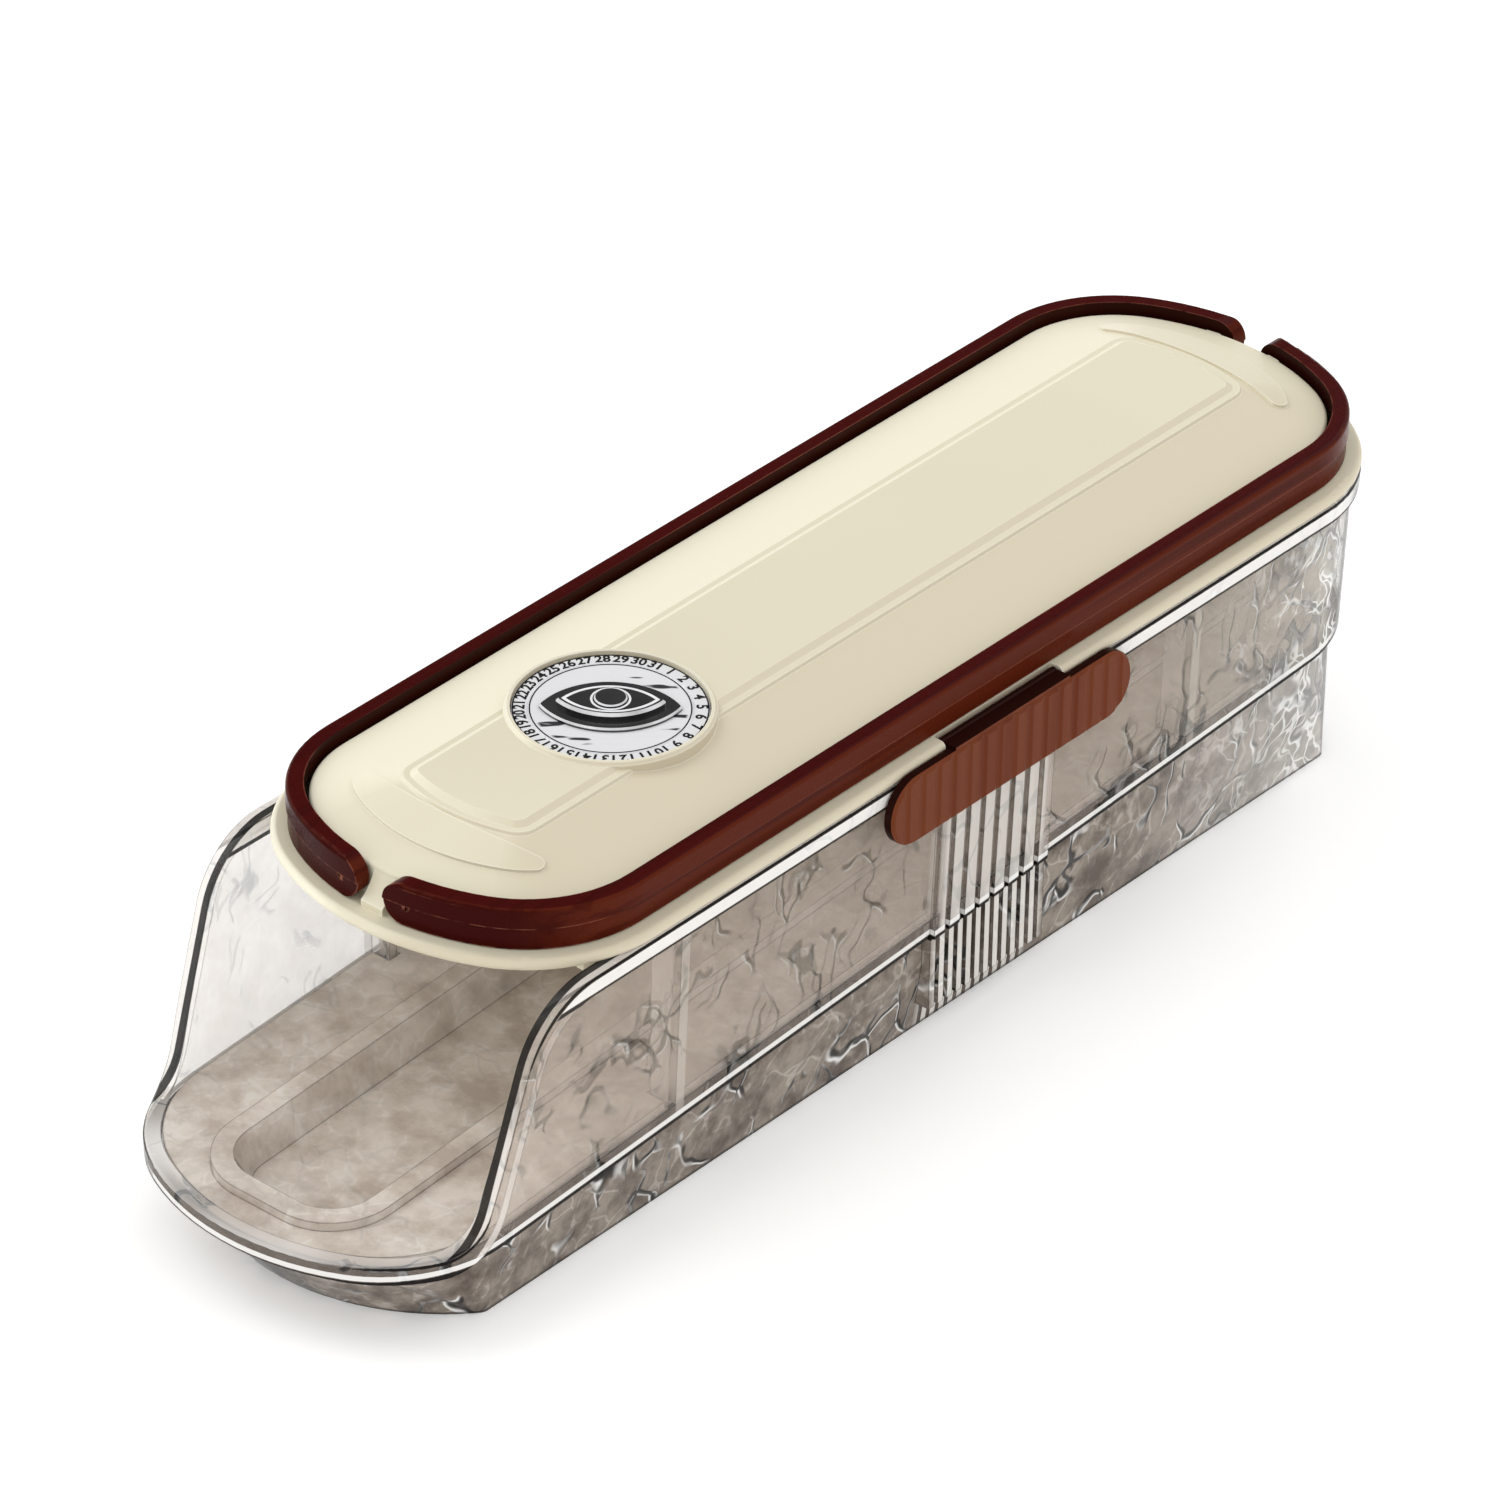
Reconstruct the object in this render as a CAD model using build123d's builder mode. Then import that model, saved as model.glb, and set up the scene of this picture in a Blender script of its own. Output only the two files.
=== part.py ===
"""Rolling egg dispenser: a clear tub with a sloping egg ramp, a cream lid,
two folding carrying handles, two side latches and a turning date dial.

Millimetres. The long axis is Y, the open mouth faces -Y, +Z is up, and the
origin is the middle of the bottom of the whole object.
"""

import os
from math import radians, sqrt, tan

from build123d import *

os.makedirs("parts", exist_ok=True)

# Overall size
overall_length = 349.8
rim_half_width = 48.3

# Shape of the rounded ends in plan, shared by the tub and the lid
end_bulge = 22.0
end_corner = 36.0

# Tub, upper walls
rim_top = 75.8
rim_bead = 1.7
rim_bead_height = 4.4
rim_rounding = 0.8
tub_wall = 2.2
wall_draft = 0.0314

# Tub, mouth
lip_top = 22.0
mouth_top_setback = 46.6
mouth_foot_setback = 29.0
mouth_top_radius = 21.0
mouth_foot_radius = 12.0

# Tub, sloping ledge that carries the ramp
ledge_mid_height = 26.3
ledge_slope = 3.07
ledge_step = 1.7

# Tub, lower part
base_half_width = 40.5
base_front_setback = 16.4
base_rear_setback = 5.7
base_bulge = 19.5
base_corner = 3.0
base_thickness = 2.4
flare_height = 18.0

# Tub, upright fins inside the walls
fin_ys = (-82.0, 92.0)
fin_depth = 5.0
fin_thickness = 2.4
fin_top_below_rim = 4.6

# Tub, ribbed grip panels on the outside
grip_width = 40.6
coarse_ribs = 8
coarse_rib_height = 1.4
coarse_rib_share = 0.7
fine_ribs = 13
fine_rib_height = 2.4
fine_rib_share = 0.6
grip_top = 61.0
grip_bottom = 7.5

# Ramp tray
tray_clearance = 0.4
tray_thickness = 2.0
trough_half_width = 14.5
trough_flat = 7.0
trough_depth = 3.5
trough_side_run = 3.5
trough_wall_run = 1.0
rail_width = 5.0
rail_height = 2.2
trough_front_gap = 14.0
trough_rear_gap = 16.0
notch_clearance = 0.5

# Lid
lid_length = 308.3
flange_height = 3.1
flange_rounding = 1.45
panel_rise = 7.9
panel_wall = 2.0
panel_edge_rounding = 0.9
skirt_clearance = 0.4
skirt_thickness = 1.6
skirt_depth = 4.0
skirt_front_gap = 25.0

# Lid, raised plateau
plateau_half_width = 18.5
plateau_end_gap = 19.5
plateau_bulge = 4.0
plateau_corner = 5.5
plateau_rise = 4.8
plateau_step = 0.7
plateau_step_run = 0.5
plateau_ledge = 1.5
plateau_crown = 0.9
plateau_crown_run = 1.7
plateau_under_step = 1.2
plateau_under_inset = 1.5

# Lid, crescents at both ends
crescent_outer_gap = 9.2
crescent_inner_gap = 18.9
crescent_bow = 11.0
crescent_tip_radius = 2.0
crescent_height = 0.7

# Lid, ribs under the panel
under_rib_ys = (-96.0, -12.0, 34.0, 80.0, 126.0)
under_rib_thickness = 1.4
under_rib_depth = 2.6

# Carrying handles
handle_inset = 3.3
handle_thickness = 4.0
handle_gap = 0.3
handle_overtop = 2.6
handle_side_gap = 1.0
handle_edge_rounding = 1.0
handle_lower_inset = 0.4
handle_tip_gap = 0.6
handle_cheek = 1.1
lug_half_width = 3.0
lug_top_drop = 0.8
lug_toe_height = 1.6
lug_toe_gap = 0.8
lug_sag = 0.9
lug_overlap = 1.0

# Handle pins
pin_radius = 1.5
pin_running_gap = 0.06
pin_end_gap = 0.3
pin_boss_radius = 3.0
pin_seat_gap = 0.02
pin_boss_reach = 6.0

# Side latches
latch_length = 82.0
latch_height = 17.0
latch_thickness = 2.6
latch_tab_thickness = 2.0
latch_bead_gap = 0.5
latch_drop = 6.6
latch_edge_bevel = 0.7
latch_flute_pitch = 5.2
latch_flute_radius = 1.6
latch_flute_depth = 0.45
latch_nose_height = 1.6
latch_nose_gap = 0.2
latch_nose_drop = 6.2
latch_slot_length = 40.0
latch_slot_gap = 0.5
latch_pin_radius = 0.7
latch_knuckle_radius = 1.3
latch_pin_inset = 2.0
latch_pin_engagement = 4.0
latch_arm_rise = 1.05
latch_arm_drop = 1.25
latch_end_play = 0.5

# Date dial
dial_y = -53.8
dial_boss_radius = 23.0
dial_boss_rise = 2.4
dial_boss_bevel = 0.7
dial_radius = 21.3
dial_edge_gap = 0.3
dial_face_drop = 0.9
dial_thickness = 1.3
dial_lift = 0.2
dial_boss_floor = 2.2
dial_stem_radius = 4.0
dial_retainer_radius = 7.0
dial_retainer_thickness = 1.4
dial_retainer_gap = 0.3
dial_groove_width = 0.5
dial_groove_depth = 0.3
dial_groove_radius = 17.6
grip_length = 31.0
grip_span = 19.0
grip_base_rise = 0.9
grip_base_bevel = 0.4
grip_tip_radius = 1.0
grip_turn = 40.0
leaf_length = 24.0
leaf_span = 12.4
leaf_rise = 1.5
leaf_bevel = 0.6
button_radius = 3.6
button_rise = 0.6
button_bevel = 0.3

# Sizes that follow from the ones above
rear_y = overall_length / 2
front_y = -overall_length / 2
rim_front_y = front_y - wall_draft * (rim_top - lip_top)
mouth_top_y = front_y + mouth_top_setback
mouth_foot_y = front_y + mouth_foot_setback
base_front_y = front_y + base_front_setback
base_rear_y = rear_y - base_rear_setback
slope = tan(radians(ledge_slope))
low_section = 10.0
lower_top = 42.0
shelf_thickness = tub_wall
through = 2 * overall_length
edge_match = 0.001

lid_front_y = rear_y - lid_length
lid_mid_y = rear_y - lid_length / 2
flange_top = rim_top + flange_height
panel_edge_top = flange_top + panel_rise
plateau_foot = panel_edge_top + plateau_rise
dial_boss_top = plateau_foot + dial_boss_rise
handle_bottom = flange_top + handle_gap
handle_top = panel_edge_top + handle_overtop
handle_height = handle_top - handle_bottom
handle_axis_z = (handle_top + handle_bottom) / 2
tip_radius = handle_height / 2
handle_axis_x = lug_half_width + handle_tip_gap + tip_radius
panel_inset = handle_inset + handle_thickness + handle_side_gap
ring_front_y = lid_front_y + handle_inset
ring_rear_y = rear_y - handle_inset
panel_front_y = lid_front_y + panel_inset
panel_rear_y = rear_y - panel_inset

latch_centre_height = rim_top - latch_drop
latch_pin_x = rim_half_width - latch_pin_inset
latch_pin_z = rim_top + flange_height / 2
latch_inner_x = rim_half_width + latch_bead_gap
latch_outer_x = latch_inner_x + latch_thickness

dial_face_z = dial_boss_top - dial_face_drop
dial_under_z = dial_face_z - dial_thickness
dial_recess_z = dial_under_z - dial_lift
dial_pad_z = dial_recess_z - dial_boss_floor


def ledge_height(y):
    """Height of the outside ledge line at a place along the tub."""
    return ledge_mid_height + slope * y


def wall_inset(height):
    """How far the outer wall stands inside the rim at a height."""
    return rim_bead + wall_draft * (rim_top - height)


def plan_outline(height, inset, half_width, front, rear, bulge, corner):
    """A long outline with bowed ends and rounded corners, drawn in by an inset."""
    end_radius = (half_width * half_width + bulge * bulge) / (2 * bulge) - inset
    side_x = half_width - inset
    bow = end_radius - sqrt(end_radius * end_radius - side_x * side_x)
    front_y = front + inset
    rear_y = rear - inset
    with BuildSketch(Plane.XY.offset(height)) as outline:
        with BuildLine():
            Line((side_x, front_y + bow), (side_x, rear_y - bow))
            ThreePointArc((side_x, rear_y - bow), (0, rear_y), (-side_x, rear_y - bow))
            Line((-side_x, rear_y - bow), (-side_x, front_y + bow))
            ThreePointArc((-side_x, front_y + bow), (0, front_y), (side_x, front_y + bow))
        make_face()
        fillet(outline.vertices(), corner - inset)
    return outline.sketch


def rim_outline(height, inset):
    """The tub's rim in plan, drawn in by an inset."""
    return plan_outline(height, inset, rim_half_width, rim_front_y, rear_y, end_bulge, end_corner)


def lid_outline(height, inset):
    """The lid's flange in plan, drawn in by an inset."""
    return plan_outline(height, inset, rim_half_width, lid_front_y, rear_y, end_bulge, end_corner)


def base_outline(height, inset):
    """The tub's foot in plan, drawn in by an inset."""
    return plan_outline(height, inset, base_half_width, base_front_y, base_rear_y, base_bulge, base_corner)


def plateau_outline(height, inset):
    """The lid's plateau in plan, drawn in by an inset."""
    front = panel_front_y + plateau_end_gap
    rear = panel_rear_y - plateau_end_gap
    return plan_outline(height, inset, plateau_half_width, front, rear, plateau_bulge, plateau_corner)


def mouth_region(drop):
    """Side view of all that lies a drop below the rim and the mouth's edge."""
    with BuildSketch(Plane.YZ) as region:
        with BuildLine():
            FilletPolyline(
                (through, rim_top),
                (mouth_top_y, rim_top),
                (mouth_foot_y, lip_top),
                (-through, lip_top),
                radius=[mouth_top_radius, mouth_foot_radius],
            )
            Polyline((-through, lip_top), (-through, -through), (through, -through), (through, rim_top))
        make_face()
        if drop:
            offset(amount=-drop, mode=Mode.REPLACE)
    return region.sketch


def outer_edges(faces):
    """The edges round a patch of faces, without the ones inside it."""
    edges = [edge for face in faces for edge in face.edges()]
    centres = [edge.center() for edge in edges]
    shared = [sum((centre - other).length < edge_match for other in centres) for centre in centres]
    return [edge for edge, count in zip(edges, shared) if count == 1]


ledge_plane = Plane(origin=(0, 0, ledge_mid_height), x_dir=(1, 0, 0), z_dir=(0, -slope, 1))
tray_plane = Plane(
    origin=(0, 0, ledge_mid_height + shelf_thickness * sqrt(1 + slope * slope)),
    x_dir=(1, 0, 0),
    z_dir=(0, -slope, 1),
)

# Tub: helper volumes for the walls, the hollow and the rim
lower_step = wall_inset(flare_height) + ledge_step
rim_face_slope = 2 * wall_draft

with BuildPart() as upper_walls:
    loft([rim_outline(low_section, wall_inset(low_section)), rim_outline(rim_top, rim_bead)], ruled=True)
    split(bisect_by=ledge_plane, keep=Keep.TOP)

with BuildPart() as lower_walls:
    loft([base_outline(0, 0), rim_outline(flare_height, lower_step)], ruled=True)
    extrude(rim_outline(flare_height, lower_step), amount=lower_top - flare_height)
    split(bisect_by=ledge_plane, keep=Keep.BOTTOM)

with BuildPart() as upper_hollow:
    hollow_foot = rim_outline(low_section, wall_inset(low_section) + tub_wall)
    loft([hollow_foot, rim_outline(rim_top, rim_bead + tub_wall)], ruled=True)
    split(bisect_by=tray_plane, keep=Keep.TOP)

with BuildPart() as lower_hollow:
    hollow_shoulder = rim_outline(flare_height + base_thickness, lower_step + tub_wall)
    loft([base_outline(base_thickness, tub_wall), hollow_shoulder], ruled=True)
    extrude(hollow_shoulder, amount=lower_top - flare_height)
    split(bisect_by=tray_plane, keep=Keep.BOTTOM)

with BuildPart() as below_mouth:
    extrude(mouth_region(0), amount=through, both=True)

with BuildPart() as rim_bead_ring:
    loft([rim_outline(low_section, wall_inset(low_section) - rim_bead), rim_outline(rim_top, 0)], ruled=True)
    extrude(mouth_region(rim_bead_height), amount=through, both=True, mode=Mode.SUBTRACT)
    extrude(mouth_region(0), amount=through, both=True, mode=Mode.INTERSECT)
    rim_faces = rim_bead_ring.faces().filter_by(lambda face: face.normal_at().Z > rim_face_slope)
    fillet(outer_edges(rim_faces), rim_rounding)

fin_inner_x = rim_half_width - wall_inset(ledge_height(fin_ys[0])) - tub_wall - fin_depth

with BuildPart() as fins:
    with BuildSketch(Plane.XY.offset(rim_top - fin_top_below_rim)):
        for fin_y in fin_ys:
            for side in (-1, 1):
                with Locations((side * (fin_inner_x + rim_half_width) / 2, fin_y)):
                    Rectangle(rim_half_width - fin_inner_x, fin_thickness)
    extrude(amount=-rim_top)
    split(bisect_by=ledge_plane, keep=Keep.TOP)
    fin_foot = rim_outline(low_section, wall_inset(low_section) + tub_wall / 2)
    loft([fin_foot, rim_outline(rim_top, rim_bead + tub_wall / 2)], ruled=True, mode=Mode.INTERSECT)


def rib_columns(count, share):
    """Plan of the upright ribs of a grip panel, across both sides of the tub."""
    pitch = grip_width / count
    with BuildSketch(Plane.XY) as columns:
        for index in range(count):
            with Locations((0, lid_mid_y + pitch * (index - (count - 1) / 2))):
                Rectangle(2 * rim_half_width, pitch * share)
    return columns.sketch


with BuildPart() as coarse_grip:
    extrude(rib_columns(coarse_ribs, coarse_rib_share), amount=grip_top)
    split(bisect_by=ledge_plane, keep=Keep.TOP)
    grip_foot = rim_outline(low_section, wall_inset(low_section) - coarse_rib_height)
    loft([grip_foot, rim_outline(rim_top, rim_bead - coarse_rib_height)], ruled=True, mode=Mode.INTERSECT)

with BuildPart() as fine_grip:
    extrude(rib_columns(fine_ribs, fine_rib_share), amount=lower_top)
    split(bisect_by=Plane.XY.offset(grip_bottom), keep=Keep.TOP)
    split(bisect_by=ledge_plane, keep=Keep.BOTTOM)
    extrude(rim_outline(0, lower_step - fine_rib_height), amount=lower_top, mode=Mode.INTERSECT)

with BuildPart() as tub:
    add(upper_walls.part)
    add(lower_walls.part)
    add(rim_bead_ring.part)
    add(coarse_grip.part)
    add(fine_grip.part)
    add(upper_hollow.part, mode=Mode.SUBTRACT)
    add(lower_hollow.part, mode=Mode.SUBTRACT)
    add(fins.part)
    add(below_mouth.part, mode=Mode.INTERSECT)
tub.part.label = "tub"
export_step(tub.part, "parts/tub.step")

# Ramp tray: a sloping plate on the tub's shelf, with a trough and a rail loop
tray_inset = wall_inset(lip_top) + tub_wall + tray_clearance
trough_front_y = rim_front_y + tray_inset + trough_front_gap
trough_rear_y = rear_y - tray_inset - trough_rear_gap
rail_inner = trough_side_run
rail_outer = rail_inner + rail_width
notch_inner_x = fin_inner_x - notch_clearance


def loop_outline(level, outset):
    """Plan of the trough or of its rail, on the tray's own sloping plane."""
    half_width = trough_half_width + outset
    length = trough_rear_y - trough_front_y + 2 * outset
    with BuildSketch(tray_plane.offset(level)) as loop:
        with Locations((0, (trough_front_y + trough_rear_y) / 2)):
            RectangleRounded(2 * half_width, length, half_width - trough_flat)
    return loop.sketch


trough_rim_level = tray_thickness + rail_height

with BuildPart() as ramp_tray:
    extrude(rim_outline(0, tray_inset), amount=rim_top)
    split(bisect_by=tray_plane, keep=Keep.TOP)
    split(bisect_by=tray_plane.offset(tray_thickness), keep=Keep.BOTTOM)
    extrude(loop_outline(tray_thickness, rail_outer), amount=rail_height)
    trough_shoulder = loop_outline(0, trough_side_run + trough_wall_run)
    loft([trough_shoulder, loop_outline(-trough_depth - tray_thickness, trough_wall_run)], ruled=True)
    trough_mouth = loop_outline(trough_rim_level, rail_inner)
    loft([trough_mouth, loop_outline(-trough_depth, 0)], ruled=True, mode=Mode.SUBTRACT)
    with BuildSketch(Plane.XY):
        for fin_y in fin_ys:
            for side in (-1, 1):
                with Locations((side * (notch_inner_x + rim_half_width) / 2, fin_y)):
                    Rectangle(rim_half_width - notch_inner_x, fin_thickness + 2 * notch_clearance)
    extrude(amount=rim_top, mode=Mode.SUBTRACT)
ramp_tray.part.label = "ramp_tray"
export_step(ramp_tray.part, "parts/ramp_tray.step")

# Lid: helper volumes for the panel, its hollow and its skirt
plateau_ceiling = plateau_foot - panel_wall
panel_inner_inset = panel_inset + panel_wall


def panel_volume(lift):
    """The sloped panel up to the plateau's foot, raised by a lift."""
    with BuildPart() as volume:
        extrude(lid_outline(rim_top + lift, panel_inset), amount=panel_edge_top - rim_top)
        panel_edge = lid_outline(panel_edge_top + lift, panel_inset)
        loft([panel_edge, plateau_outline(plateau_foot + lift, 0)], ruled=True)
    return volume.part


def hollow_volume(drop):
    """The space under the lid's panel, lowered by a drop."""
    shoulder = lid_outline(panel_edge_top - panel_wall - drop, panel_inner_inset)
    with BuildPart() as volume:
        extrude(lid_outline(rim_top - drop, panel_inner_inset), amount=panel_edge_top - panel_wall - rim_top)
        loft([shoulder, plateau_outline(plateau_ceiling - drop, 0)], ruled=True)
        extrude(plateau_outline(plateau_ceiling - drop, plateau_under_inset), amount=plateau_under_step)
    return volume.part


def crescent(end_y, inward):
    """Plan of the crescent between the panel's end and the plateau."""
    inner_y = end_y + inward * crescent_inner_gap
    wing_y = inner_y + inward * crescent_bow
    beyond_y = inner_y + inward * lid_length
    with BuildSketch(Plane.XY.offset(flange_top)) as shape:
        add(lid_outline(flange_top, panel_inset + crescent_outer_gap))
        with BuildLine():
            ThreePointArc((-rim_half_width, wing_y), (0, inner_y), (rim_half_width, wing_y))
            Polyline(
                (rim_half_width, wing_y),
                (rim_half_width, beyond_y),
                (-rim_half_width, beyond_y),
                (-rim_half_width, wing_y),
            )
        make_face(mode=Mode.SUBTRACT)
        tips = shape.vertices().sort_by(Axis.X)
        fillet([tips[0], tips[-1]], crescent_tip_radius)
    return shape.sketch


panel_core = panel_volume(0)
panel_raised = panel_volume(crescent_height)
lid_hollow = hollow_volume(0)
lid_hollow_lowered = hollow_volume(under_rib_depth)
plateau_top = plateau_foot + plateau_step

with BuildPart() as panel:
    add(panel_core)
    fillet(panel.edges().filter_by(Plane.XY).group_by(Axis.Z)[1], panel_edge_rounding)

with BuildPart() as crescents:
    extrude(crescent(panel_front_y, 1), amount=plateau_foot)
    extrude(crescent(panel_rear_y, -1), amount=plateau_foot)
    add(panel_raised, mode=Mode.INTERSECT)

with BuildPart() as under_ribs:
    with BuildSketch(Plane.XY.offset(rim_top)):
        for rib_y in under_rib_ys:
            with Locations((0, rib_y)):
                Rectangle(2 * rim_half_width, under_rib_thickness)
    extrude(amount=plateau_foot - rim_top)
    add(lid_hollow, mode=Mode.INTERSECT)
    add(lid_hollow_lowered, mode=Mode.SUBTRACT)

skirt_inset = wall_inset(rim_top - skirt_depth) + tub_wall + skirt_clearance

with BuildPart() as skirt:
    extrude(lid_outline(rim_top - skirt_depth, skirt_inset), amount=skirt_depth)
    skirt_hole = lid_outline(rim_top - skirt_depth, skirt_inset + skirt_thickness)
    extrude(skirt_hole, amount=skirt_depth, mode=Mode.SUBTRACT)
    split(bisect_by=Plane.XZ.offset(-lid_front_y - skirt_front_gap), keep=Keep.BOTTOM)

with BuildPart() as flange:
    extrude(lid_outline(rim_top, 0), amount=flange_height)
    fillet(flange.faces().sort_by(Axis.Z)[-1].edges(), flange_rounding)
    fillet(flange.faces().sort_by(Axis.Z)[0].edges(), flange_rounding)

with BuildPart() as pin_bosses:
    for boss_y in (panel_front_y, panel_rear_y - pin_boss_reach):
        with BuildSketch(Plane.XZ.offset(-boss_y - pin_boss_reach)):
            with Locations((handle_axis_x, handle_axis_z), (-handle_axis_x, handle_axis_z)):
                Circle(pin_boss_radius)
        extrude(amount=pin_boss_reach)
    add(panel_core, mode=Mode.INTERSECT)

with BuildPart() as dial_boss:
    with BuildSketch(Plane.XY.offset(dial_pad_z)):
        with Locations((0, dial_y)):
            Circle(dial_boss_radius)
    extrude(amount=dial_boss_top - dial_pad_z)
    chamfer(dial_boss.edges().group_by(Axis.Z)[-1], dial_boss_bevel)

with BuildPart() as lugs:
    for lug_outer_y, lug_inner_y, inward in (
        (ring_front_y, panel_front_y, 1),
        (ring_rear_y, panel_rear_y, -1),
    ):
        toe = (lug_outer_y + inward * lug_toe_gap, flange_top + lug_toe_height)
        top = (lug_inner_y, panel_edge_top - lug_top_drop)
        dip = ((toe[0] + top[0]) / 2, (toe[1] + top[1]) / 2 - lug_sag)
        back_y = lug_inner_y + inward * lug_overlap
        with BuildSketch(Plane.YZ):
            with BuildLine():
                ThreePointArc(toe, dip, top)
                Polyline(top, (back_y, top[1]), (back_y, flange_top), (toe[0], flange_top), toe)
            make_face()
        extrude(amount=lug_half_width, both=True)

slot_inner_x = latch_pin_x - latch_knuckle_radius - latch_slot_gap
pin_bore_length = latch_slot_length + 2 * latch_pin_engagement

with BuildPart() as lid:
    add(flange.part)
    add(skirt.part)
    add(panel.part)
    loft([plateau_outline(plateau_foot, 0), plateau_outline(plateau_top, plateau_step_run)], ruled=True)
    crown_foot = plateau_outline(plateau_top, plateau_step_run + plateau_ledge)
    crown_inset = plateau_step_run + plateau_ledge + plateau_crown_run
    loft([crown_foot, plateau_outline(plateau_top + plateau_crown, crown_inset)], ruled=True)
    add(crescents.part)
    add(lugs.part)
    add(lid_hollow, mode=Mode.SUBTRACT)
    add(under_ribs.part)
    add(pin_bosses.part)
    add(dial_boss.part)
    with BuildSketch(Plane.XY.offset(dial_recess_z)):
        with Locations((0, dial_y)):
            Circle(dial_radius + dial_edge_gap)
    extrude(amount=dial_boss_top, mode=Mode.SUBTRACT)
    with BuildSketch(Plane.XY.offset(rim_top)):
        with Locations((0, dial_y)):
            Circle(dial_stem_radius + pin_running_gap)
    extrude(amount=dial_boss_top, mode=Mode.SUBTRACT)
    with BuildSketch(Plane.XZ.offset(-panel_front_y)):
        with Locations((handle_axis_x, handle_axis_z), (-handle_axis_x, handle_axis_z)):
            Circle(pin_radius + pin_seat_gap)
    extrude(amount=panel_front_y - panel_rear_y, mode=Mode.SUBTRACT)
    with BuildSketch(Plane.XY.offset(rim_top)):
        for side in (-1, 1):
            with Locations((side * (slot_inner_x + rim_half_width) / 2, lid_mid_y)):
                Rectangle(rim_half_width - slot_inner_x, latch_slot_length)
    extrude(amount=flange_height, mode=Mode.SUBTRACT)
    with BuildSketch(Plane.XZ.offset(-lid_mid_y)):
        with Locations((latch_pin_x, latch_pin_z), (-latch_pin_x, latch_pin_z)):
            Circle(latch_pin_radius + pin_seat_gap)
    extrude(amount=pin_bore_length / 2, both=True, mode=Mode.SUBTRACT)
lid.part.label = "lid"
export_step(lid.part, "parts/lid.step")

# Carrying handles: one ring around the panel, parted over the two lugs
with BuildPart() as handle_ring:
    extrude(lid_outline(handle_bottom, handle_inset + handle_lower_inset), amount=handle_height)
    extrude(lid_outline(handle_axis_z, handle_inset), amount=handle_height / 2)
    fillet(handle_ring.faces().sort_by(Axis.Z)[-1].edges(), handle_edge_rounding)
    extrude(
        lid_outline(handle_bottom, handle_inset + handle_thickness),
        amount=handle_height,
        mode=Mode.SUBTRACT,
    )

with BuildPart() as handle_right:
    with BuildSketch(Plane.XZ):
        with Locations((handle_axis_x, handle_axis_z)):
            Circle(tip_radius)
        with Locations((handle_axis_x + rim_half_width / 2, handle_axis_z)):
            Rectangle(rim_half_width, handle_height)
    extrude(amount=through, both=True)
    add(handle_ring.part, mode=Mode.INTERSECT)
    with BuildSketch(Plane.XZ.offset(-ring_front_y - handle_cheek)):
        with Locations((handle_axis_x, handle_axis_z)):
            Circle(pin_radius + pin_running_gap)
    extrude(amount=ring_front_y - ring_rear_y + 2 * handle_cheek, mode=Mode.SUBTRACT)
handle_right.part.label = "handle_right"
export_step(handle_right.part, "parts/handle_right.step")

with BuildPart() as handle_left:
    mirror(handle_right.part, about=Plane.YZ)
handle_left.part.label = "handle_left"
export_step(handle_left.part, "parts/handle_left.step")


def handle_pin(name, side, face_y, inward):
    """A plain pin from inside a handle tip, through the gap, into the lid's boss."""
    pin_start = handle_cheek + pin_end_gap
    pin_end = handle_thickness + handle_side_gap + pin_boss_reach
    pin_plane = Plane(
        origin=(side * handle_axis_x, face_y + inward * pin_start, handle_axis_z),
        x_dir=(1, 0, 0),
        z_dir=(0, inward, 0),
    )
    with BuildPart() as pin:
        with BuildSketch(pin_plane):
            Circle(pin_radius)
        extrude(amount=pin_end - pin_start)
    pin.part.label = name
    export_step(pin.part, "parts/" + name + ".step")


handle_pin("handle_pin_front_left", -1, ring_front_y, 1)
handle_pin("handle_pin_front_right", 1, ring_front_y, 1)
handle_pin("handle_pin_rear_left", -1, ring_rear_y, -1)
handle_pin("handle_pin_rear_right", 1, ring_rear_y, -1)

# Side latches: a fluted plate outside the rim, hinged in a slot of the flange
latch_hinge_length = latch_slot_length - 2 * latch_end_play
flute_count = int(latch_length / latch_flute_pitch)
latch_top_z = latch_pin_z + latch_arm_rise
latch_arm_height = latch_arm_rise + latch_arm_drop

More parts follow.
